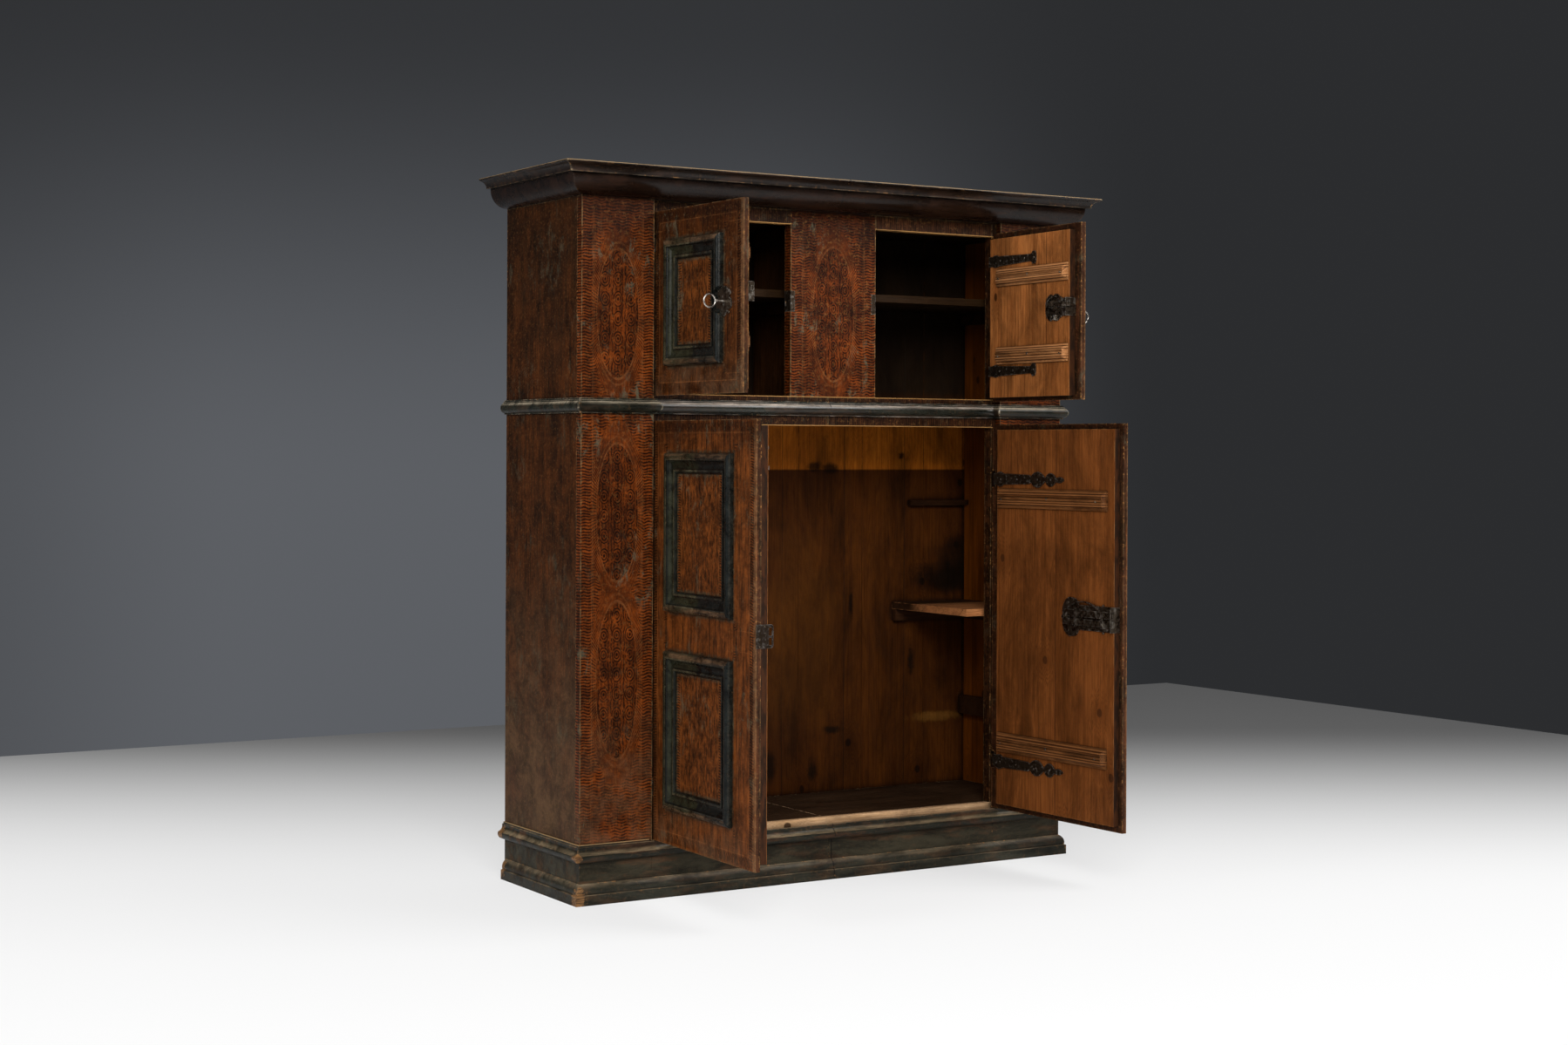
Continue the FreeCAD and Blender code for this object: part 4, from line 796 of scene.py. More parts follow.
@dataclass(frozen=True)
class DarkPaint:
    """The nearly black green-brown paint of the mouldings, with pale dust and a painted sheen where it looks up, and
    rubbed paint with painted highlights along its ridges.
    """

    body: Colour = (0.013, 0.0145, 0.0105)
    under: Colour = (0.060, 0.026, 0.012)
    pale: Colour = (0.150, 0.125, 0.088)
    bare: Colour = (0.32, 0.16, 0.06)
    grime_and_shade: Colour = (0.003, 0.003, 0.0025)
    gap: Colour = (0.003, 0.002, 0.0015)
    stretch: Point = (0.06, 1.0, 1.0)
    top: float = 0.6
    ridge_rub_and_highlight: float = 0.6
    chip: float = 0.6
    brown: float = 0.5
    reach: float = 4.0
    rough: float = 0.34
    coat: float = 0.0
    shine: float = 0.15
    crest_from: float = 0.0
    crest: Colour = (0.37, 0.235, 0.105)
    knocks: tuple[tuple[Point, float], ...] = ()
    seam: float = -8.5

    def dress(self, name: str) -> bpy.types.Material:
        """Make the finish for a moulding.

        Args:
            name: The material's name.

        Returns:
            The material.
        """
        finish = Finish(name)
        across, _, up = finish.axes
        drag = finish.noise(3.2, 4.0, 0.68, place=finish.here * self.stretch)
        long_way = finish.here * tuple(part ** 0.5 for part in self.stretch)
        patch = finish.noise(34.0, 5.0, 0.66, 0.3, place=long_way)
        edge = finish.edges(self.reach)
        colour = finish.blend(patch.smooth(0.48, 0.62) * self.brown, self.body, self.under)
        # pale dust and a painted sheen on faces that look up, as if lit from above
        looks_up = finish.facing_up().smooth(0.25, 0.90)
        dust = looks_up * drag.smooth(0.30, 0.62, 0.45, 1.0) * patch.smooth(0.32, 0.60, 0.4, 1.0) * self.top
        colour = colour.under(dust.lower_of(0.95), self.pale)
        # rubbed paint and painted highlights along the ridges
        ridge_rub_and_highlight = edge * drag.smooth(0.42, 0.62) * patch.smooth(0.34, 0.56) * self.ridge_rub_and_highlight
        colour = colour.under(ridge_rub_and_highlight.lower_of(0.9), self.pale)
        specks = finish.noise(5.0, 5.0, 0.78, place=finish.here * self.stretch).smooth(0.62, 0.67) * 0.5
        colour = colour.under(specks, self.under)
        colour = finish.patina(colour, 40.0, 0.9, place=long_way)
        # soiling and painted shade in the hollows
        colour = colour.under(finish.hollows(9.0) * 0.8, self.grime_and_shade)
        if self.crest_from:
            raw = up.smooth(self.crest_from - 0.4, self.crest_from) * patch.smooth(0.30, 0.5, 0.4, 1.0)
            colour = colour.under(raw, self.crest)
        colour = colour.under(across.line(self.seam, 2.6) * 0.9, self.gap)
        for middle, size in self.knocks:
            away = finish.node("ShaderNodeVectorMath", {"operation": "DISTANCE"}, {0: finish.here, 1: middle}, "Value")
            ragged = away + (finish.noise(9.0, 4.0, 0.7) - 0.5) * size * 2.2
            raw = finish.blend(drag.smooth(0.40, 0.60), self.bare, self.under)
            colour = colour.under(ragged.smooth(size * 0.7, size, 0.92, 0.0), raw)
        chips = (edge + 0.1) * finish.noise(11.0, 4.0, 0.72).smooth(0.57, 0.62) * self.chip
        colour = colour.under(chips.lower_of(1.0), self.bare)
        rough = patch.smooth(0.35, 0.65, self.rough, self.rough + 0.2)
        return finish.surface(colour, rough, drag * 0.5 - chips * 0.6, 0.45, coat=self.coat, shine=self.shine)


@dataclass(frozen=True)
class ForgedIron:
    """Hammered iron, black with age and brighter where it is rubbed."""

    body: Colour = (0.105, 0.078, 0.052)
    rust: Colour = (0.050, 0.022, 0.010)
    bright: Colour = (0.62, 0.58, 0.52)
    rubbed: float = 0.5
    rough: float = 0.36
    dent: float = 8.0
    relief: float = 0.4

    def dress(self, name: str) -> bpy.types.Material:
        """Make the finish for a piece of iron.

        Args:
            name: The material's name.

        Returns:
            The material.
        """
        finish = Finish(name)
        dents = finish.noise(self.dent, 2.0, 0.5)
        spots = finish.noise(6.0, 4.0, 0.65)
        rust = spots.smooth(0.44, 0.66)
        colour = finish.blend(rust * 0.8, self.body, self.rust)
        shiny = finish.edges(1.8) * spots.smooth(0.34, 0.56) + dents.smooth(0.56, 0.70) * 0.5
        shiny = (shiny * self.rubbed).lower_of(1.0)
        colour = colour.under(shiny, self.bright)
        metal = (1.0 - rust * 0.55).lower_of(1.0)
        rough = dents.smooth(0.35, 0.7, self.rough, self.rough + 0.2)
        return finish.surface(colour, rough, dents, self.relief, metal, shine=0.5)


# ---------------------------------------------------------------------------------------------------------------
# Small repeated pieces


@dataclass
class NailHeads:
    """Hand-made nail heads, set by a node tree on points that say which way they face."""

    radius: float = 3.2
    rise: float = 1.5
    uneven: float = 0.2
    sides: int = 9
    rings: int = 6
    seed: int = 7

    def tree(self, name: str, material: bpy.types.Material) -> bpy.types.NodeTree:
        """Build the node tree that puts a head on each point.

        Args:
            name: The tree's name.
            material: The iron of the heads.

        Returns:
            The node tree.
        """
        tree = bpy.data.node_groups.new(name, "GeometryNodeTree")
        faces = tree.interface
        faces.new_socket("Geometry", in_out="INPUT", socket_type="NodeSocketGeometry")
        for label, kind in (("Head Radius", "Float"), ("Head Rise", "Float"), ("Uneven", "Float"), ("Seed", "Int")):
            faces.new_socket(label, in_out="INPUT", socket_type="NodeSocket" + kind)
        faces.new_socket("Geometry", in_out="OUTPUT", socket_type="NodeSocketGeometry")
        bench = Bench(tree)
        given = bench.node("NodeGroupInput")
        radius = bench.also(given, "Head Radius")
        uneven = bench.also(given, "Uneven")
        ball = bench.node(
            "GeometryNodeMeshUVSphere", None, {"Segments": self.sides, "Rings": self.rings, "Radius": radius}, "Mesh")
        squash = bench.join(1.0, 1.0, bench.also(given, "Head Rise") / radius)
        head = bench.node("GeometryNodeTransform", None, {"Geometry": ball, "Scale": squash})
        facing = bench.node(
            "GeometryNodeInputNamedAttribute", {"data_type": "FLOAT_VECTOR"}, {"Name": "facing"}, "Attribute")
        turn = bench.node("FunctionNodeAlignRotationToVector", {"axis": "Z"}, {"Vector": facing}, "Rotation")
        size = bench.node(
            "FunctionNodeRandomValue", {"data_type": "FLOAT"},
            {2: 1.0 - uneven, 3: uneven + 1.0, "Seed": bench.also(given, "Seed")}, 1)
        spread = bench.node(
            "GeometryNodeInstanceOnPoints", None,
            {"Points": bench.also(given, "Geometry"), "Instance": head, "Rotation": turn, "Scale": size})
        real = bench.node("GeometryNodeRealizeInstances", None, {"Geometry": spread})
        dressed = bench.node("GeometryNodeSetMaterial", None, {"Geometry": real, "Material": material})
        bench.node("NodeGroupOutput", None, {"Geometry": dressed})
        return tree

    def drive(
            self, name: str, body: str, place: Place, spots: Sequence[Spot],
            tree: bpy.types.NodeTree) -> bpy.types.Object:
        """Set the nails of one body.

        Args:
            name: The piece's name.
            body: The body that the nails ride on.
            place: The frame of the spots.
            spots: Pairs of a point in millimetres and the way the head faces.
            tree: The node tree that makes the heads.

        Returns:
            The nails as one plain mesh.
        """
        matrix = place.matrix()
        turn = matrix.to_3x3()
        mesh = bpy.data.meshes.new(name + "_points")
        mesh.from_pydata([matrix @ Vector(point) for point, _ in spots], [], [])
        ways = mesh.attributes.new("facing", "FLOAT_VECTOR", "POINT")
        for item, (_, facing) in zip(ways.data, spots):
            item.vector = (turn @ Vector(facing)).normalized()
        source = placed(name + "_points", mesh)
        modifier = source.modifiers.new("heads", "NODES")
        modifier.node_group = tree
        values = {
            "Head Radius": self.radius * MM, "Head Rise": self.rise * MM, "Uneven": self.uneven, "Seed": self.seed}
        for item in tree.interface.items_tree:
            if item.in_out == "INPUT" and item.name in values:
                modifier[item.identifier] = values[item.name]
        depsgraph = bpy.context.evaluated_depsgraph_get()
        depsgraph.update()
        made = bpy.data.meshes.new_from_object(source.evaluated_get(depsgraph))
        source.modifiers.remove(modifier)
        bpy.data.objects.remove(source)
        piece = placed(name, made)
        for polygon in made.polygons:
            polygon.use_smooth = True
        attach(piece, body)
        LOG.info("%s holds %d heads", name, len(spots))
        return piece


# ---------------------------------------------------------------------------------------------------------------
# The cupboard


def paint(nodes: Parts, names: Sequence[str], material: bpy.types.Material) -> None:
    """Give a material to carried-over parts.

    Args:
        nodes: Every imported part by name.
        names: The parts to paint.
        material: Their material.
    """
    for name in names:
        piece = nodes[name]
        if not piece.material_slots:
            piece.data.materials.append(material)
        for held in piece.material_slots:
            held.material = material
        LOG.info("%s is dressed in %s", name, material.name)


@dataclass(frozen=True)
class DoorColours:
    """The colours that all four doors share."""

    dust: Colour = (0.040, 0.036, 0.022)
    worn_strip: Colour = (0.150, 0.072, 0.032)
    back_streaks: tuple[Colour, Colour] = ((0.044, 0.0145, 0.006), (0.012, 0.006, 0.003))
    # the frames' lighter hinge side and near black free side: painted light and shade on one paint
    frame_body_lit_and_shaded: tuple[Colour, Colour] = ((0.0135, 0.0140, 0.0074), (0.0050, 0.0062, 0.0056))
    frame_rubbed: Colour = (0.082, 0.045, 0.023)
    # painted highlights along the frames' ridges, with some rubbed paint
    frame_ridge_highlight: Colour = (0.085, 0.066, 0.040)
    # painted shade in the frames' grooves and hollows, with some soiling
    frame_groove_shade: Colour = (0.003, 0.003, 0.0024)
    frame_chip: Colour = (0.25, 0.13, 0.05)
    # soiling and painted shade in the hollows of the pine backs
    pine_grime_and_shade: Colour = (0.010, 0.0045, 0.0016)
    pine_edge: Colour = (0.40, 0.20, 0.070)
    painted_edge: tuple[Colour, Colour] = ((0.042, 0.015, 0.006), (0.014, 0.007, 0.004))


@dataclass
class DoorLooks:
    """The finishes and the nails of one door."""

    name: str
    place: Place
    width: float
    sill: float
    head: float
    frames: tuple[tuple[float, float], ...]
    frame_left: float
    frame_right: float
    straps: tuple[float, float]
    strap_nails: tuple[float, ...]
    battens: tuple[float, float]
    batten_nails: tuple[float, ...]
    pine: Pine
    ground: Colour
    dark_top: float = 0.55
    panel_gain: float = 0.92
    frame_width: float = 51.0
    batten_shade_gain: float = 1.0
    batten_grooves: tuple[float, float] = (10.5, 17.0)
    batten_tint: Colour = (0.95, 1.2, 1.75)
    painted_depth: float = 30.2
    stagger: float = 2.0
    other_spots: tuple[Spot, ...] = ()
    colours: DoorColours = DoorColours()
    wear: Wear = Wear(rub=0.8, scuff=0.45, rubbed=(0.12, 0.068, 0.030), bare=(0.36, 0.16, 0.045))

    def inset(self, finish: Finish, bottom: float, top: float) -> tuple[Signal, Signal]:
        """Return how far inside a raised frame's panel a place is, from its sides and from its ends."""
        across, _, up = finish.axes
        return (across - self.frame_left).lower_of(self.frame_right - across), (up - bottom).lower_of(top - up)

    def face(self) -> bpy.types.Material:
        """Make the paint of the front, with a combed panel inside each raised frame.

        Returns:
            The material.
        """
        comb = Comb(stroke=6.6)
        finish = Finish(self.name + "_face", self.place)
        across, deep, up = finish.axes
        fibre = finish.noise(5.0, 4.0, 0.7, place=finish.here * (1.0, 1.0, 0.04))
        broad = finish.noise(14.0, 5.0, 0.70, place=finish.here * (1.0, 1.0, 0.10))
        cloud = finish.noise(95.0, 5.0, 0.62)
        patch = finish.noise(16.0, 4.0, 0.6)
        mottle = finish.noise(8.0, 5.0, 0.70, place=finish.here * (1.0, 1.0, 0.3)).smooth(0.42, 0.58)
        rows, columns = comb.strokes(finish, up, across), comb.strokes(finish, across, up)
        outer, lines = comb.ring(
            rows, columns, across.lower_of(self.width - across), (up - self.sill).lower_of(self.head - up), 7.0, 27.0)
        halo = None
        panels = []
        for bottom, top in self.frames:
            side, rise = self.inset(finish, bottom, top)
            ring, thin = comb.ring(
                rows, columns, side * -1.0 - self.frame_width, rise * -1.0 - self.frame_width, 3.0, 20.0)
            near = side.lower_of(rise)
            around = near.line(-self.frame_width / 2, self.frame_width + 5.0, 9.0)
            halo = around if halo is None else halo + around
            outer = outer + ring * (near + self.frame_width).smooth(-26.0, -23.0)
            lines = lines + thin * 0.7
            border = side.fade(16.0, 20.0)
            share = border * rows + (1.0 - border) * mottle * 0.7 + fibre.smooth(0.46, 0.66) * 0.35
            panel = finish.blend(share.lower_of(0.95), scaled(self.ground, self.panel_gain), comb.glaze)
            panels.append((near.smooth(-1.0, 0.5), finish.blend(side.line(22.0, 1.0) * 0.35, panel, comb.drawn)))
        mask = fibre.smooth(0.44, 0.60) * 0.45 + broad.smooth(0.44, 0.60) * 0.45 + outer * 0.8
        colour = finish.blend(mask.lower_of(0.95), self.ground, comb.glaze)
        colour = colour.under(lines.lower_of(1.0) * 0.35, comb.drawn)
        for inside, panel in panels:
            colour = colour.under(inside, panel)
        colour = colour.under(cloud.smooth(0.46, 0.72) * 0.5, comb.glaze)
        colour = colour.under(halo.lower_of(1.0) * patch.smooth(0.38, 0.56) * 0.7, self.colours.dust)
        strip = across.smooth(self.width - 15.0, self.width - 9.0) * patch.smooth(0.36, 0.56, 0.25, 1.0)
        colour = colour.under(strip * 0.65, self.colours.worn_strip)
        low = up.fade(self.sill, self.sill + 130.0) * cloud.smooth(0.35, 0.6)
        colour = colour.under(low * 0.45, comb.dusty)
        back = deep.smooth(1.5, 4.0)
        streaked = finish.blend(broad.smooth(0.42, 0.62), *self.colours.back_streaks)
        colour = colour.under(back * 0.9, streaked)
        top = up.smooth(self.head - 95.0, self.head - 20.0) * patch.smooth(0.36, 0.58, 0.5, 1.0)
        colour = colour.under(top * self.dark_top, comb.glaze)
        colour, chips = self.wear.lay(finish, colour)
        rough = cloud.smooth(0.3, 0.7, 0.42, 0.58)
        return finish.surface(colour, rough, fibre * 0.5 + mask * 0.25 - chips * 0.5, 0.5)

    def framing(self) -> bpy.types.Material:
        """Make the dark paint of the raised frames, rubbed brown above and below; its lighter green on the hinge side
        and near black on the free side are painted light and shade, with painted highlights along the ridges and
        painted shade in the grooves.

        Returns:
            The material.
        """
        finish = Finish(self.name + "_framing", self.place)
        across = finish.axes[0]
        drag = finish.noise(5.0, 5.0, 0.72)
        patch = finish.noise(24.0, 5.0, 0.68)
        long_patch = finish.noise(13.0, 4.0, 0.66, place=finish.here * (0.14, 1.0, 1.0))
        # painted light and shade: the hinge side is painted lighter green, the free side near black
        free = (across - (self.frame_left + self.frame_right) / 2).smooth(-4.0, 4.0)
        colour = finish.blend(free, *self.colours.frame_body_lit_and_shaded)
        for bottom, top in self.frames:
            side, rise = self.inset(finish, bottom, top)
            reach = side.lower_of(rise) + self.frame_width
            member = reach.smooth(-2.0, -1.0)
            level = (side - rise).smooth(-0.5, 0.5) * member
            round_part = reach.line(8.5, 8.0, 4.0) * long_patch.smooth(0.36, 0.62)
            colour = colour.under(level * round_part * 0.75, self.colours.frame_rubbed)
            # painted highlights along the ridges, with some rubbed paint, fainter on the free side
            ridges = reach.line(16.2, 2.4, 1.0) + reach.line(44.0, 3.6, 1.0) * 0.8 + reach.line(1.0, 1.6, 1.0) * 0.6
            ridges = ridges * drag.smooth(0.38, 0.58, 0.15, 1.0) * (1.0 - free * 0.6) * member
            colour = colour.under(ridges.lower_of(1.0) * 0.5, self.colours.frame_ridge_highlight)
            # painted shade in the grooves
            grooves = (reach.line(19.5, 1.6, 1.0) + reach.line(40.0, 1.6, 1.0) + reach.line(49.5, 2.0, 1.0)) * member
            colour = colour.under(grooves.lower_of(1.0) * 0.85, self.colours.frame_groove_shade)
        colour = finish.patina(colour, 40.0, 1.2)
        # soiling and painted shade in the hollows
        colour = colour.under(finish.hollows(7.0) * 0.6, self.colours.frame_groove_shade)
        chips = (finish.edges(2.0) + 0.12) * drag.smooth(0.60, 0.64)
        colour = colour.under(chips * 0.6, self.colours.frame_chip)
        rough = patch.smooth(0.35, 0.65, 0.22, 0.42)
        return finish.surface(colour, rough, drag * 0.6 - chips * 0.5, 0.4, shine=0.15)

    def inner(self) -> bpy.types.Material:
        """Make the pine of the back, whose edges are painted dark.

        Returns:
            The material.
        """
        finish = Finish(self.name + "_pine", self.place)
        colour, height = self.pine.wood(finish)
        deep = finish.axes[1]
        edge = finish.edges(3.0)
        patch = finish.noise(16.0, 4.0, 0.6, place=finish.here * (1.0, 1.0, 0.3))
        colour = finish.patina(colour, 130.0, self.pine.uneven, place=self.pine.stretched(finish.here))
        # soiling and painted shade in the hollows
        colour = colour.under(finish.hollows(24.0) * 0.7, self.colours.pine_grime_and_shade)
        colour = colour.under(edge * patch.smooth(0.42, 0.58) * 0.45, self.colours.pine_edge)
        ends = deep.fade(self.painted_depth, self.painted_depth + 1.2)
        painted = finish.blend(patch.smooth(0.40, 0.60), *self.colours.painted_edge)
        colour = colour.under(ends * 0.97, painted)
        rough = patch.smooth(0.3, 0.7, 0.44, 0.60)
        return finish.surface(colour, rough, height, 0.55)

    def dress(self, nodes: Parts, iron: bpy.types.Material) -> None:
        """Dress the door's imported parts.

        Args:
            nodes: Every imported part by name.
            iron: The iron of the hinges.
        """
        paint(nodes, [self.name + "_face_board"], self.face())
        paint(nodes, [self.name + "_inner_board"], self.inner())
        # a batten gain below 1 paints the battens darker, as painted shade
        light = self.pine.light
        strips = Pine(
            light=tuple(part * gain * self.batten_shade_gain for part, gain in zip(light, self.batten_tint)),
            middle=scaled(light, 0.5 * self.batten_shade_gain),
            grain=Grain.ALONG, knot_size=420.0, board=900.0, stain=0.3, dirt_and_shade=0.95, uneven=0.8,
            seed=self.pine.seed + 40.0)
        paint(nodes, [self.name + "_battens"], strips.dress(
            self.name + "_batten_pine", self.place,
            tuple(middle + side * offset for middle in self.battens for side in (-1, 1)
                  for offset in self.batten_grooves)))
        paint(nodes, [self.name + "_panel_frames"], self.framing())
        paint(nodes, [self.name + "_straps"], iron)

    def nail_spots(self) -> list[Spot]:
        """Return where the door's nails are and which way they face."""
        spots = [((along, BACK_IRON_FACE, middle), INWARDS) for middle in self.straps for along in self.strap_nails]
        spots += [((along, BATTEN_FACE, middle + self.stagger * (number % 2 * 2 - 1)), INWARDS)
                  for middle in self.battens for number, along in enumerate(self.batten_nails)]
        return spots + list(self.other_spots)


@dataclass
class CarcassLooks:
    """The finishes of everything that stands still."""

    nodes: Parts
    corner_rows: tuple[tuple[float, float], ...] = ((1488.0, 165.0), (985.0, 175.0), (560.0, 200.0))

    def lay(self, looks: Pine | StreakedPaint | DarkPaint, label: str, *names: str) -> None:
        """Give one finish, under a label, to the parts of some names."""
        paint(self.nodes, names, looks.dress(label))

    def boards(self) -> None:
        """Dress the painted boards of the front and the sides."""
        corner = Comb(ground=(0.152, 0.0315, 0.0042))
        paint(self.nodes, ["corner_board_left"], corner.dress(
            "grained_corner_left", -760.0, -554.0, Ovals(-657.0, 60.0, self.corner_rows)))
        paint(self.nodes, ["corner_board_right"], corner.dress(
            "grained_corner_right", 548.0, 760.0, Ovals(654.0, 62.0, self.corner_rows)))
        centre = Comb(
            ground=(0.144, 0.0290, 0.0042), border=34.0, front=-196.0, wear=Wear(bare=(0.42, 0.19, 0.05), rub=0.9))
        paint(self.nodes, ["centre_board_left", "centre_board_right"], centre.dress(
            "grained_centre", -128.0, 143.0, Ovals(7.5, 66.0, ((1510.0, 180.0),))))
        rails = StreakedPaint(
            ground=(0.048, 0.016, 0.0052), shade=(0.008, 0.003, 0.0014), strokes=0.5,
            bright_levels=(1210.5, 1287.5, 1745.5),
            wear=Wear(bare=(0.36, 0.17, 0.05), scuff=0.2, rub=0.9))
        self.lay(rails, "rail_paint", "top_rails", "middle_rails", "jamb_stiles")
        wall = Pine(
            light=(0.160, 0.0410, 0.0026), middle=(0.090, 0.0220, 0.0013), dark=(0.020, 0.006, 0.0008), seed=60.0)
        sides = StreakedPaint(low_wear=0.85, high_shade=0.45, lining=wall, lined_within=737.0)
        self.lay(sides, "side_paint", "side_panel_left", "side_panel_right")

    def mouldings(self) -> None:
        """Dress the mouldings and the plinth."""
        # top and pale give pale dust and a painted sheen where a moulding looks up, and the ridges get rubbed paint
        # and painted highlights; the waist's corners get a weaker sheen than its long run
        self.lay(DarkPaint(
            body=(0.014, 0.0145, 0.0100), top=0.9, pale=(0.42, 0.350, 0.250), ridge_rub_and_highlight=0.7, rough=0.24, coat=0.1,
            brown=0.3), "waist_corner_sheen_paint", "waist_moulding_corners")
        # the waist's long run gets a bright painted sheen along its top
        self.lay(DarkPaint(
            top=1.0, pale=(0.50, 0.420, 0.345), ridge_rub_and_highlight=0.75, rough=0.20, coat=0.25, brown=0.35,
            shine=0.3), "waist_sheen_paint", "waist_moulding_main")
        self.lay(DarkPaint(
            body=(0.0135, 0.0135, 0.0090), under=(0.060, 0.026, 0.011), pale=(0.230, 0.170, 0.100), top=0.8,
            ridge_rub_and_highlight=0.6, chip=0.9, brown=0.7, reach=3.0, rough=0.30, crest_from=150.0,
            knocks=(((-779.0, -240.0, 124.0), 19.0), ((-780.0, 214.0, 122.0), 24.0))), "base_paint", "base_moulding")
        self.lay(DarkPaint(
            body=(0.021, 0.020, 0.0135), under=(0.058, 0.030, 0.014), pale=(0.19, 0.142, 0.088), top=0.8, ridge_rub_and_highlight=0.6,
            chip=0.8, brown=0.5, reach=4.0, rough=0.36,
            knocks=(((-775.0, -236.0, 20.0), 30.0), ((-776.0, 214.0, 30.0), 26.0))), "foot_paint", "foot_moulding")
        self.lay(DarkPaint(
            body=(0.0080, 0.0036, 0.0020), under=(0.022, 0.0082, 0.0036), pale=(0.09, 0.060, 0.045), top=0.25,
            ridge_rub_and_highlight=0.2, chip=0.15, rough=0.20, coat=0.15), "cornice_paint", "cornice_frame")
        self.lay(DarkPaint(
            body=(0.0095, 0.0060, 0.0044), under=(0.034, 0.016, 0.009), pale=(0.34, 0.26, 0.16), top=0.95, ridge_rub_and_highlight=0.35,
            chip=0.8, rough=0.25, coat=0.15, crest_from=1859.0), "cap_paint", "cornice_cap")
        self.lay(DarkPaint(
            body=(0.029, 0.0245, 0.0145), under=(0.066, 0.032, 0.0150), pale=(0.10, 0.074, 0.044), top=0.0, ridge_rub_and_highlight=0.4,
            chip=0.4, brown=0.6, rough=0.40, shine=0.10), "plinth_paint", "plinth_front_boards", "plinth_side_boards")

    def inside(self) -> None:
        """Dress the bare wood inside, behind and underneath."""
        knots = tuple(
            Stain(across, up, wide, high, strength=0.85) for across, up, wide, high in (
                (265.0, 337.0, 46.0, 17.0), (197.0, 223.0, 24.0, 42.0), (53.0, 243.0, 40.0, 60.0),
                (543.0, 524.0, 15.0, 62.0), (205.0, 1098.0, 34.0, 20.0), (262.0, 1094.0, 40.0, 24.0),
                (505.0, 1130.0, 16.0, 14.0), (330.0, 700.0, 9.0, 60.0), (690.0, 765.0, 200.0, 62.0),
                (730.0, 820.0, 170.0, 110.0)))
        rubbed = (
            Stain(632.0, 356.0, 125.0, 20.0, (0.120, 0.050, 0.0085), 0.75),
            Stain(150.0, 620.0, 190.0, 380.0, (0.075, 0.024, 0.0028), 0.55),
            Stain(545.0, 640.0, 50.0, 90.0, (0.085, 0.025, 0.0030), 0.5))
        # painted shade: the back boards go nearly black above the middle deck
        dim = Pine(
            light=(0.058, 0.0165, 0.0020), middle=(0.034, 0.0085, 0.0009), dark=(0.010, 0.0034, 0.0007), seed=900.0,
            board=211.0, golden=(7.0, 7.2, 4.4), golden_low=1088.0, golden_high=1215.0, painted_shade_from=1265.0,
            scratches=0.3, plain_behind=213.0, stains=rubbed + knots)
        self.lay(dim, "back_pine", "back_boards")
        # painted shade: the floor and the deck go dark a short way in from their front edges
        flat = Pine(
            light=(0.720, 0.460, 0.260), middle=(0.440, 0.255, 0.120), dark=(0.03, 0.012, 0.005), grain=Grain.ALONG,
            board=185.0, seed=1500.0, shade_behind=-184.0, shade_over=14.0)
        self.lay(flat, "floor_pine", "floor_boards")
        self.lay(flat, "deck_pine", "middle_deck")
        # painted shade: the lower shelf darkens towards the back
        self.lay(Pine(
            light=(0.440, 0.180, 0.066), middle=(0.200, 0.072, 0.024), dark=(0.02, 0.008, 0.003), grain=Grain.ALONG,
            board=185.0, seed=1520.0, shade_behind=30.0), "shelf_pine", "lower_shelf")
        # painted shade: the upper shelves and the top boards are painted nearly black, as the upper storey lies in
        # shade
        shade = Pine(
            light=(0.025, 0.012, 0.0040), middle=(0.014, 0.006, 0.0020), dark=(0.005, 0.003, 0.0013),
            grain=Grain.ALONG, board=330.0, seed=2300.0)
        self.lay(shade, "upper_shade_pine", "upper_shelves", "top_boards")
        self.lay(Pine(
            light=(0.034, 0.012, 0.004), middle=(0.018, 0.007, 0.0024), dark=(0.006, 0.003, 0.0014),
            grain=Grain.ALONG, board=330.0, seed=2500.0), "cleat_pine", "shelf_cleats")
        self.lay(Pine(
            light=(0.05, 0.018, 0.005), middle=(0.026, 0.009, 0.0025),
            seed=700.0), "partition_pine", "upper_partition", "plinth_bearers")


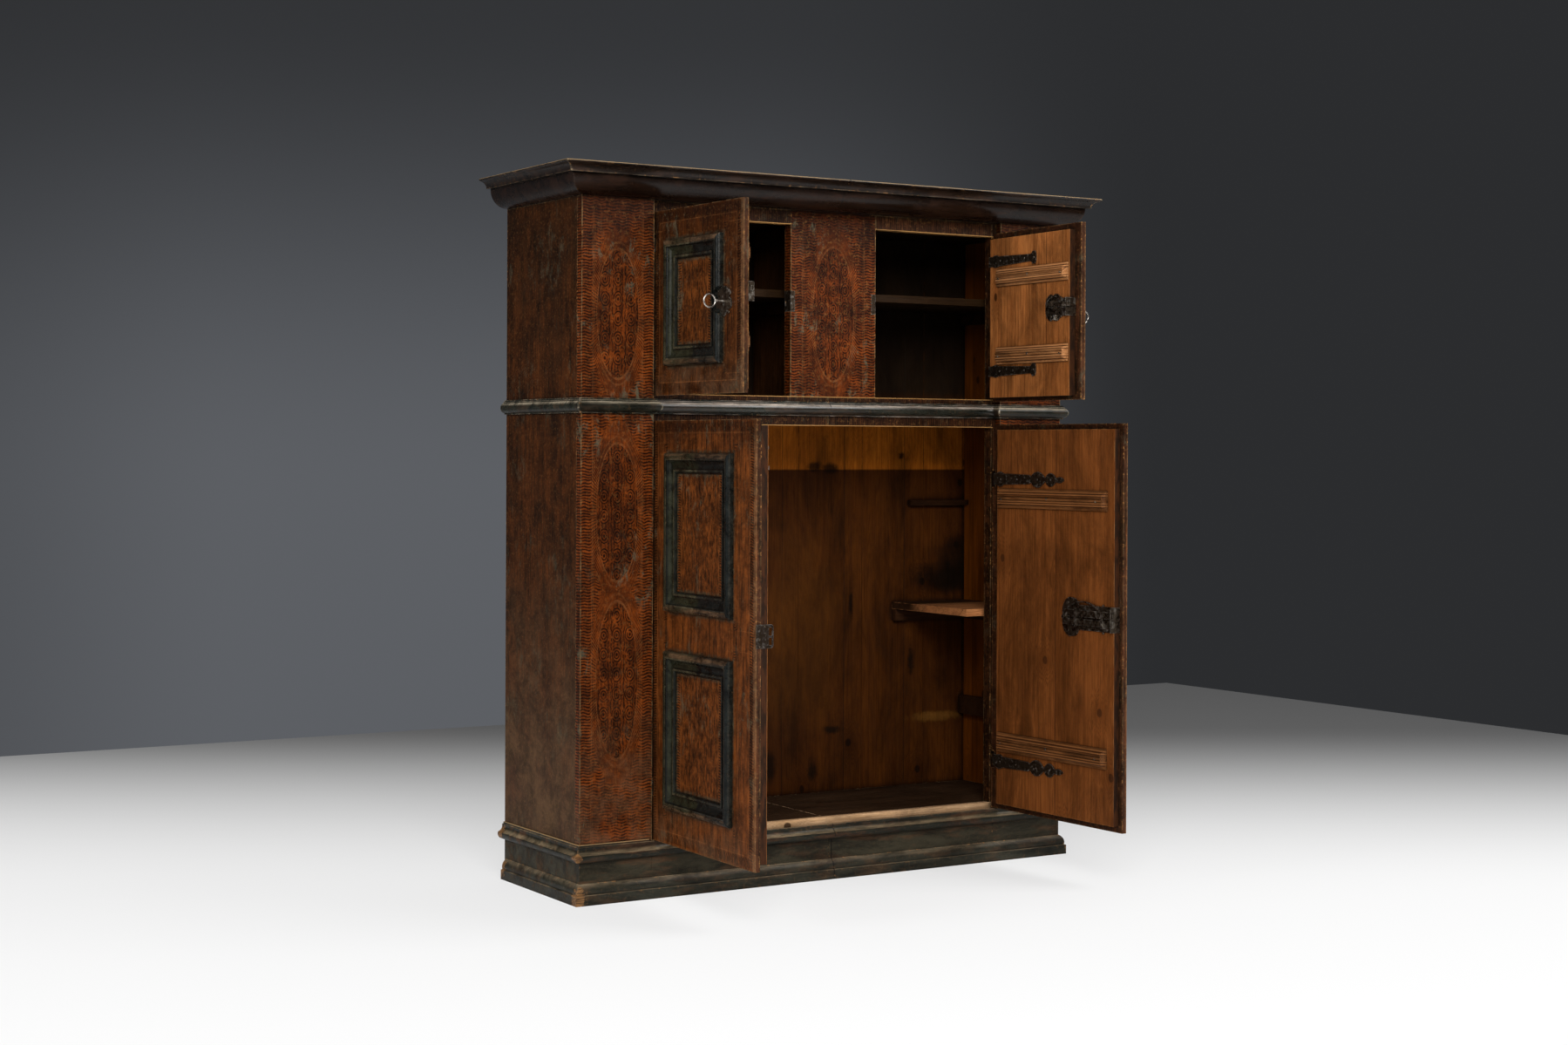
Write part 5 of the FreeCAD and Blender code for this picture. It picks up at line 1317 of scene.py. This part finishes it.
@dataclass
class Studio:
    """The floor, the light and the camera."""

    eye: Point = (-3.4002, -5.4822, 1.1425)
    yaw: float = 31.61
    roll: float = 0.237
    lens: float = 53.7
    shift: float = -0.0457
    floor_x: tuple[float, float] = (-14.0, 4.3)
    floor_y: tuple[float, float] = (-14.0, 3.4)
    pool: tuple[float, float] = (6.1, 9.8)
    floor_glow: float = 0.65
    aim: Point = (0.0, 0.0, 0.9)
    daylight: float = 0.34
    wall_dim: Colour = (0.0245, 0.0255, 0.0275)
    wall_lit: Colour = (0.108, 0.114, 0.126)
    lamps: dict[str, tuple[Point, float, float]] = field(default_factory=lambda: {
        "front_lamp": ((-2.4, -4.8, 3.4), 2.4, 230.0),
        "left_lamp": ((-5.0, -0.6, 2.6), 2.0, 72.0),
        "top_lamp": ((2.4, -2.8, 4.0), 2.4, 135.0)})

    def floor(self) -> None:
        """Lay the floor out to where the walls stand."""
        mesh = bpy.data.meshes.new("floor")
        mesh.from_pydata([(x, y, 0.0) for x in self.floor_x for y in self.floor_y], [], [(0, 2, 3, 1)])
        floor = placed("floor", mesh)
        finish = Finish("floor_white")
        turn = math.radians(self.yaw)
        away, aside, _ = finish.split(finish.here * MM)
        away = (away - self.eye[0]) * math.sin(turn) + (aside - self.eye[1]) * math.cos(turn)
        lit = away.smooth(*self.pool, 0.955, 0.03)
        ground = finish.node("ShaderNodeBsdfPrincipled", None, {
            "Base Color": lit * 0.42 + 0.40, "Roughness": 0.9, "Specular IOR Level": 0.0}, "BSDF")
        glow = finish.node("ShaderNodeBsdfPrincipled", None, {
            "Base Color": 0.0, "Specular IOR Level": 0.0, "Emission Color": lit, "Emission Strength": 1.0}, "BSDF")
        seen = finish.node("ShaderNodeLightPath", None, None, "Is Camera Ray") * self.floor_glow
        finish.node("ShaderNodeOutputMaterial", None, {
            "Surface": finish.node("ShaderNodeMixShader", None, {0: seen, 1: ground, 2: glow})})
        mesh.materials.append(finish.material)

    def light(self) -> None:
        """Light the room evenly, with large soft lamps for the highlights."""
        world = bpy.data.worlds.new("room")
        bpy.context.scene.world = world
        world.use_nodes = True
        bench = Bench(world.node_tree)
        path = bench.node("ShaderNodeLightPath", None, None, "Is Camera Ray")
        seen = path.higher_of(bench.also(path, "Is Glossy Ray")).higher_of(bench.also(path, "Is Transmission Ray"))
        plain = bench.node("ShaderNodeBackground", None, {"Color": (1.0, 1.0, 1.0), "Strength": self.daylight})
        east, north, rise = bench.split(bench.node("ShaderNodeTexCoord", None, None, "Generated"))
        turn = math.radians(self.yaw)
        right = east * math.cos(turn) - north * math.sin(turn)
        low = rise.smooth(-0.02, 0.19, 1.0, 0.10)
        left = right.fade(-0.02, 0.16) * right.smooth(-0.36, -0.22, 0.62, 1.0)
        colour = bench.blend(low * left, self.wall_dim, self.wall_lit)
        wall = bench.node("ShaderNodeBackground", None, {"Color": colour, "Strength": 1.0})
        either = bench.node("ShaderNodeMixShader", None, {0: seen, 1: plain, 2: wall})
        bench.node("ShaderNodeOutputWorld", None, {"Surface": either})
        for name, (at, size, power) in self.lamps.items():
            self.lamp(name, at, size, power)

    def lamp(self, name: str, at: Point, size: float, power: float) -> None:
        """Hang one square lamp that points at the cupboard's middle.

        Args:
            name: The lamp's name.
            at: Where it hangs, in metres.
            size: Its width in metres.
            power: Its power in watts.
        """
        data = bpy.data.lights.new(name, "AREA")
        data.size = size
        data.energy = power
        lamp = placed(name, data)
        lamp.location = at
        lamp.rotation_euler = (Vector(self.aim) - Vector(at)).to_track_quat("-Z", "Y").to_euler()
        LOG.info("%s hangs at %s", name, at)

    def camera(self) -> None:
        """Stand the camera where the photographer stood."""
        data = bpy.data.cameras.new("camera")
        data.lens = self.lens
        data.sensor_width = SENSOR_WIDTH
        data.shift_y = self.shift
        camera = placed("camera", data)
        turn = Matrix.Rotation(math.radians(-self.yaw), 4, "Z") @ Matrix.Rotation(math.pi / 2, 4, "X")
        camera.matrix_world = Matrix.Translation(self.eye) @ turn @ Matrix.Rotation(
            math.radians(self.roll), 4, "Z")
        bpy.context.scene.camera = camera


def plate_spots(across: float, height: float, half_wide: float, half_high: float, depth: float) -> tuple[Spot, ...]:
    """Return four rivets near the corners of a plate on a door's front or back.

    Args:
        across: The plate's middle, from the hinge line.
        height: The plate's middle height.
        half_wide: Half of the distance between the rivets across.
        half_high: Half of their distance in height.
        depth: How far in from the front face they sit, less than 0 on the front.

    Returns:
        The rivets' points and the way they face.
    """
    facing = INWARDS if depth > 0 else OUTWARDS
    return tuple(
        ((across + half_wide * wide, depth, height + half_high * high), facing)
        for wide in (-1, 1) for high in (-1, 1))


def doors() -> list[DoorLooks]:
    """Return the four doors."""
    upper = {"sill": 1282.0, "head": 1752.0, "frames": ((1407.0, 1623.0),), "straps": (1366.0, 1671.0),
             "battens": (1408.0, 1624.0), "frame_left": 123.0, "strap_nails": (64.0, 128.0, 182.0, 226.0),
             "ground": (0.058, 0.0155, 0.0025), "panel_gain": 1.68}
    lower = {"sill": 148.0, "head": 1218.0, "frames": ((289.0, 586.0), (788.0, 1085.0)),
             "straps": (283.0, 1067.0), "battens": (338.0, 1014.0), "frame_left": 139.0, "frame_right": 382.0,
             "width": 545.0, "strap_nails": (62.0, 132.0, 219.0, 275.0), "batten_nails": (75.0, 270.0, 470.0),
             "ground": (0.130, 0.0345, 0.0060)}
    pale = Pine(
        light=(0.355, 0.128, 0.034), middle=(0.185, 0.055, 0.0120), dark=(0.040, 0.012, 0.003), seed=311.0,
        board=214.0, stain=0.6, scratches=0.6, uneven=0.6)
    deep = Pine(
        light=(0.178, 0.056, 0.0125), middle=(0.098, 0.028, 0.0058), seed=533.0, board=262.0, scratches=0.35,
        uneven=0.6)
    left_lock, right_lock = (
        plate_spots(across, 1506.0, 24.0, 27.0, FRONT_PLATE_FACE)
        + plate_spots(across + 3.0, 1529.0, 22.0, 24.0, BACK_IRON_FACE) for across in (348.0, 327.0))
    large_lock = plate_spots(420.0, 704.0, 70.0, 36.0, BACK_IRON_FACE)
    strike = tuple(((545.9, 10.0 + 14.0 * (number % 2), height), TO_FREE_EDGE)
                   for number, height in enumerate((680.0, 728.0, 696.0, 712.0)))
    return [
        # The upper left door's battens are painted much darker, as painted shade.
        DoorLooks("upper_left", Place(LEFT_HINGE_X, HINGE_Y, 88.7, -1), width=436.0, frame_right=291.0,
                  batten_nails=(70.0, 220.0, 380.0), batten_shade_gain=0.35, pine=pale, other_spots=left_lock, **upper),
        DoorLooks("upper_right", Place(RIGHT_HINGE_X, HINGE_Y, 87.3, 1), width=415.0, frame_right=270.0,
                  batten_nails=(70.0, 210.0, 360.0), pine=pale, other_spots=right_lock, **upper),
        DoorLooks("lower_left", Place(LEFT_HINGE_X, HINGE_Y, 91.8, -1), pine=deep, other_spots=strike, **lower),
        DoorLooks("lower_right", Place(RIGHT_HINGE_X, HINGE_Y, 91.9, 1), pine=deep, other_spots=large_lock, **lower)]


def main(frame: dict[str, Any]) -> None:
    """Dress the cupboard and set up the studio.
    """
    nodes = frame["nodes"]
    black = ForgedIron(body=(0.060, 0.043, 0.028), rust=(0.028, 0.013, 0.006), rubbed=0.4).dress("strap_iron")
    works = ForgedIron(
        body=(0.085, 0.064, 0.044), rust=(0.036, 0.020, 0.011), rubbed=0.45, rough=0.26, dent=16.0,
        relief=0.3).dress("lock_iron")
    dull = ForgedIron(body=(0.030, 0.020, 0.013), rust=(0.018, 0.010, 0.006), rubbed=0.2, rough=0.5).dress("dull_iron")
    bright = ForgedIron(
        body=(0.48, 0.45, 0.41), rust=(0.14, 0.09, 0.06), bright=(0.78, 0.75, 0.70), rubbed=0.9,
        rough=0.18).dress("key_iron")
    carcass = CarcassLooks(nodes)
    carcass.boards()
    carcass.mouldings()
    carcass.inside()
    paint(nodes, ["hinge_pintles", "keeper_plates"], black)
    heads = NailHeads()
    tree = heads.tree("nail_heads", works)
    for door in doors():
        door.dress(nodes, black)
        heads.drive(door.name + "_nails", door.name + "_door", door.place, door.nail_spots(), tree)
        LOG.info("%s door is dressed", door.name)
    for side in ("upper_left", "upper_right"):
        paint(nodes, [side + "_escutcheon", side + "_lock", side + "_bolt"], works)
        paint(nodes, [side + "_key"], bright)
    paint(nodes, ["lower_right_lock", "lower_right_bolts", "lower_left_hook"], works)
    paint(nodes, ["lower_left_strike"], dull)
    studio = Studio()
    studio.floor()
    studio.light()
    studio.camera()
    bpy.context.scene.view_settings.view_transform = "Standard"


if __name__ == "__main__":
    logging.basicConfig(level=logging.INFO, format="%(name)s: %(message)s")
    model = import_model()
    main(model)
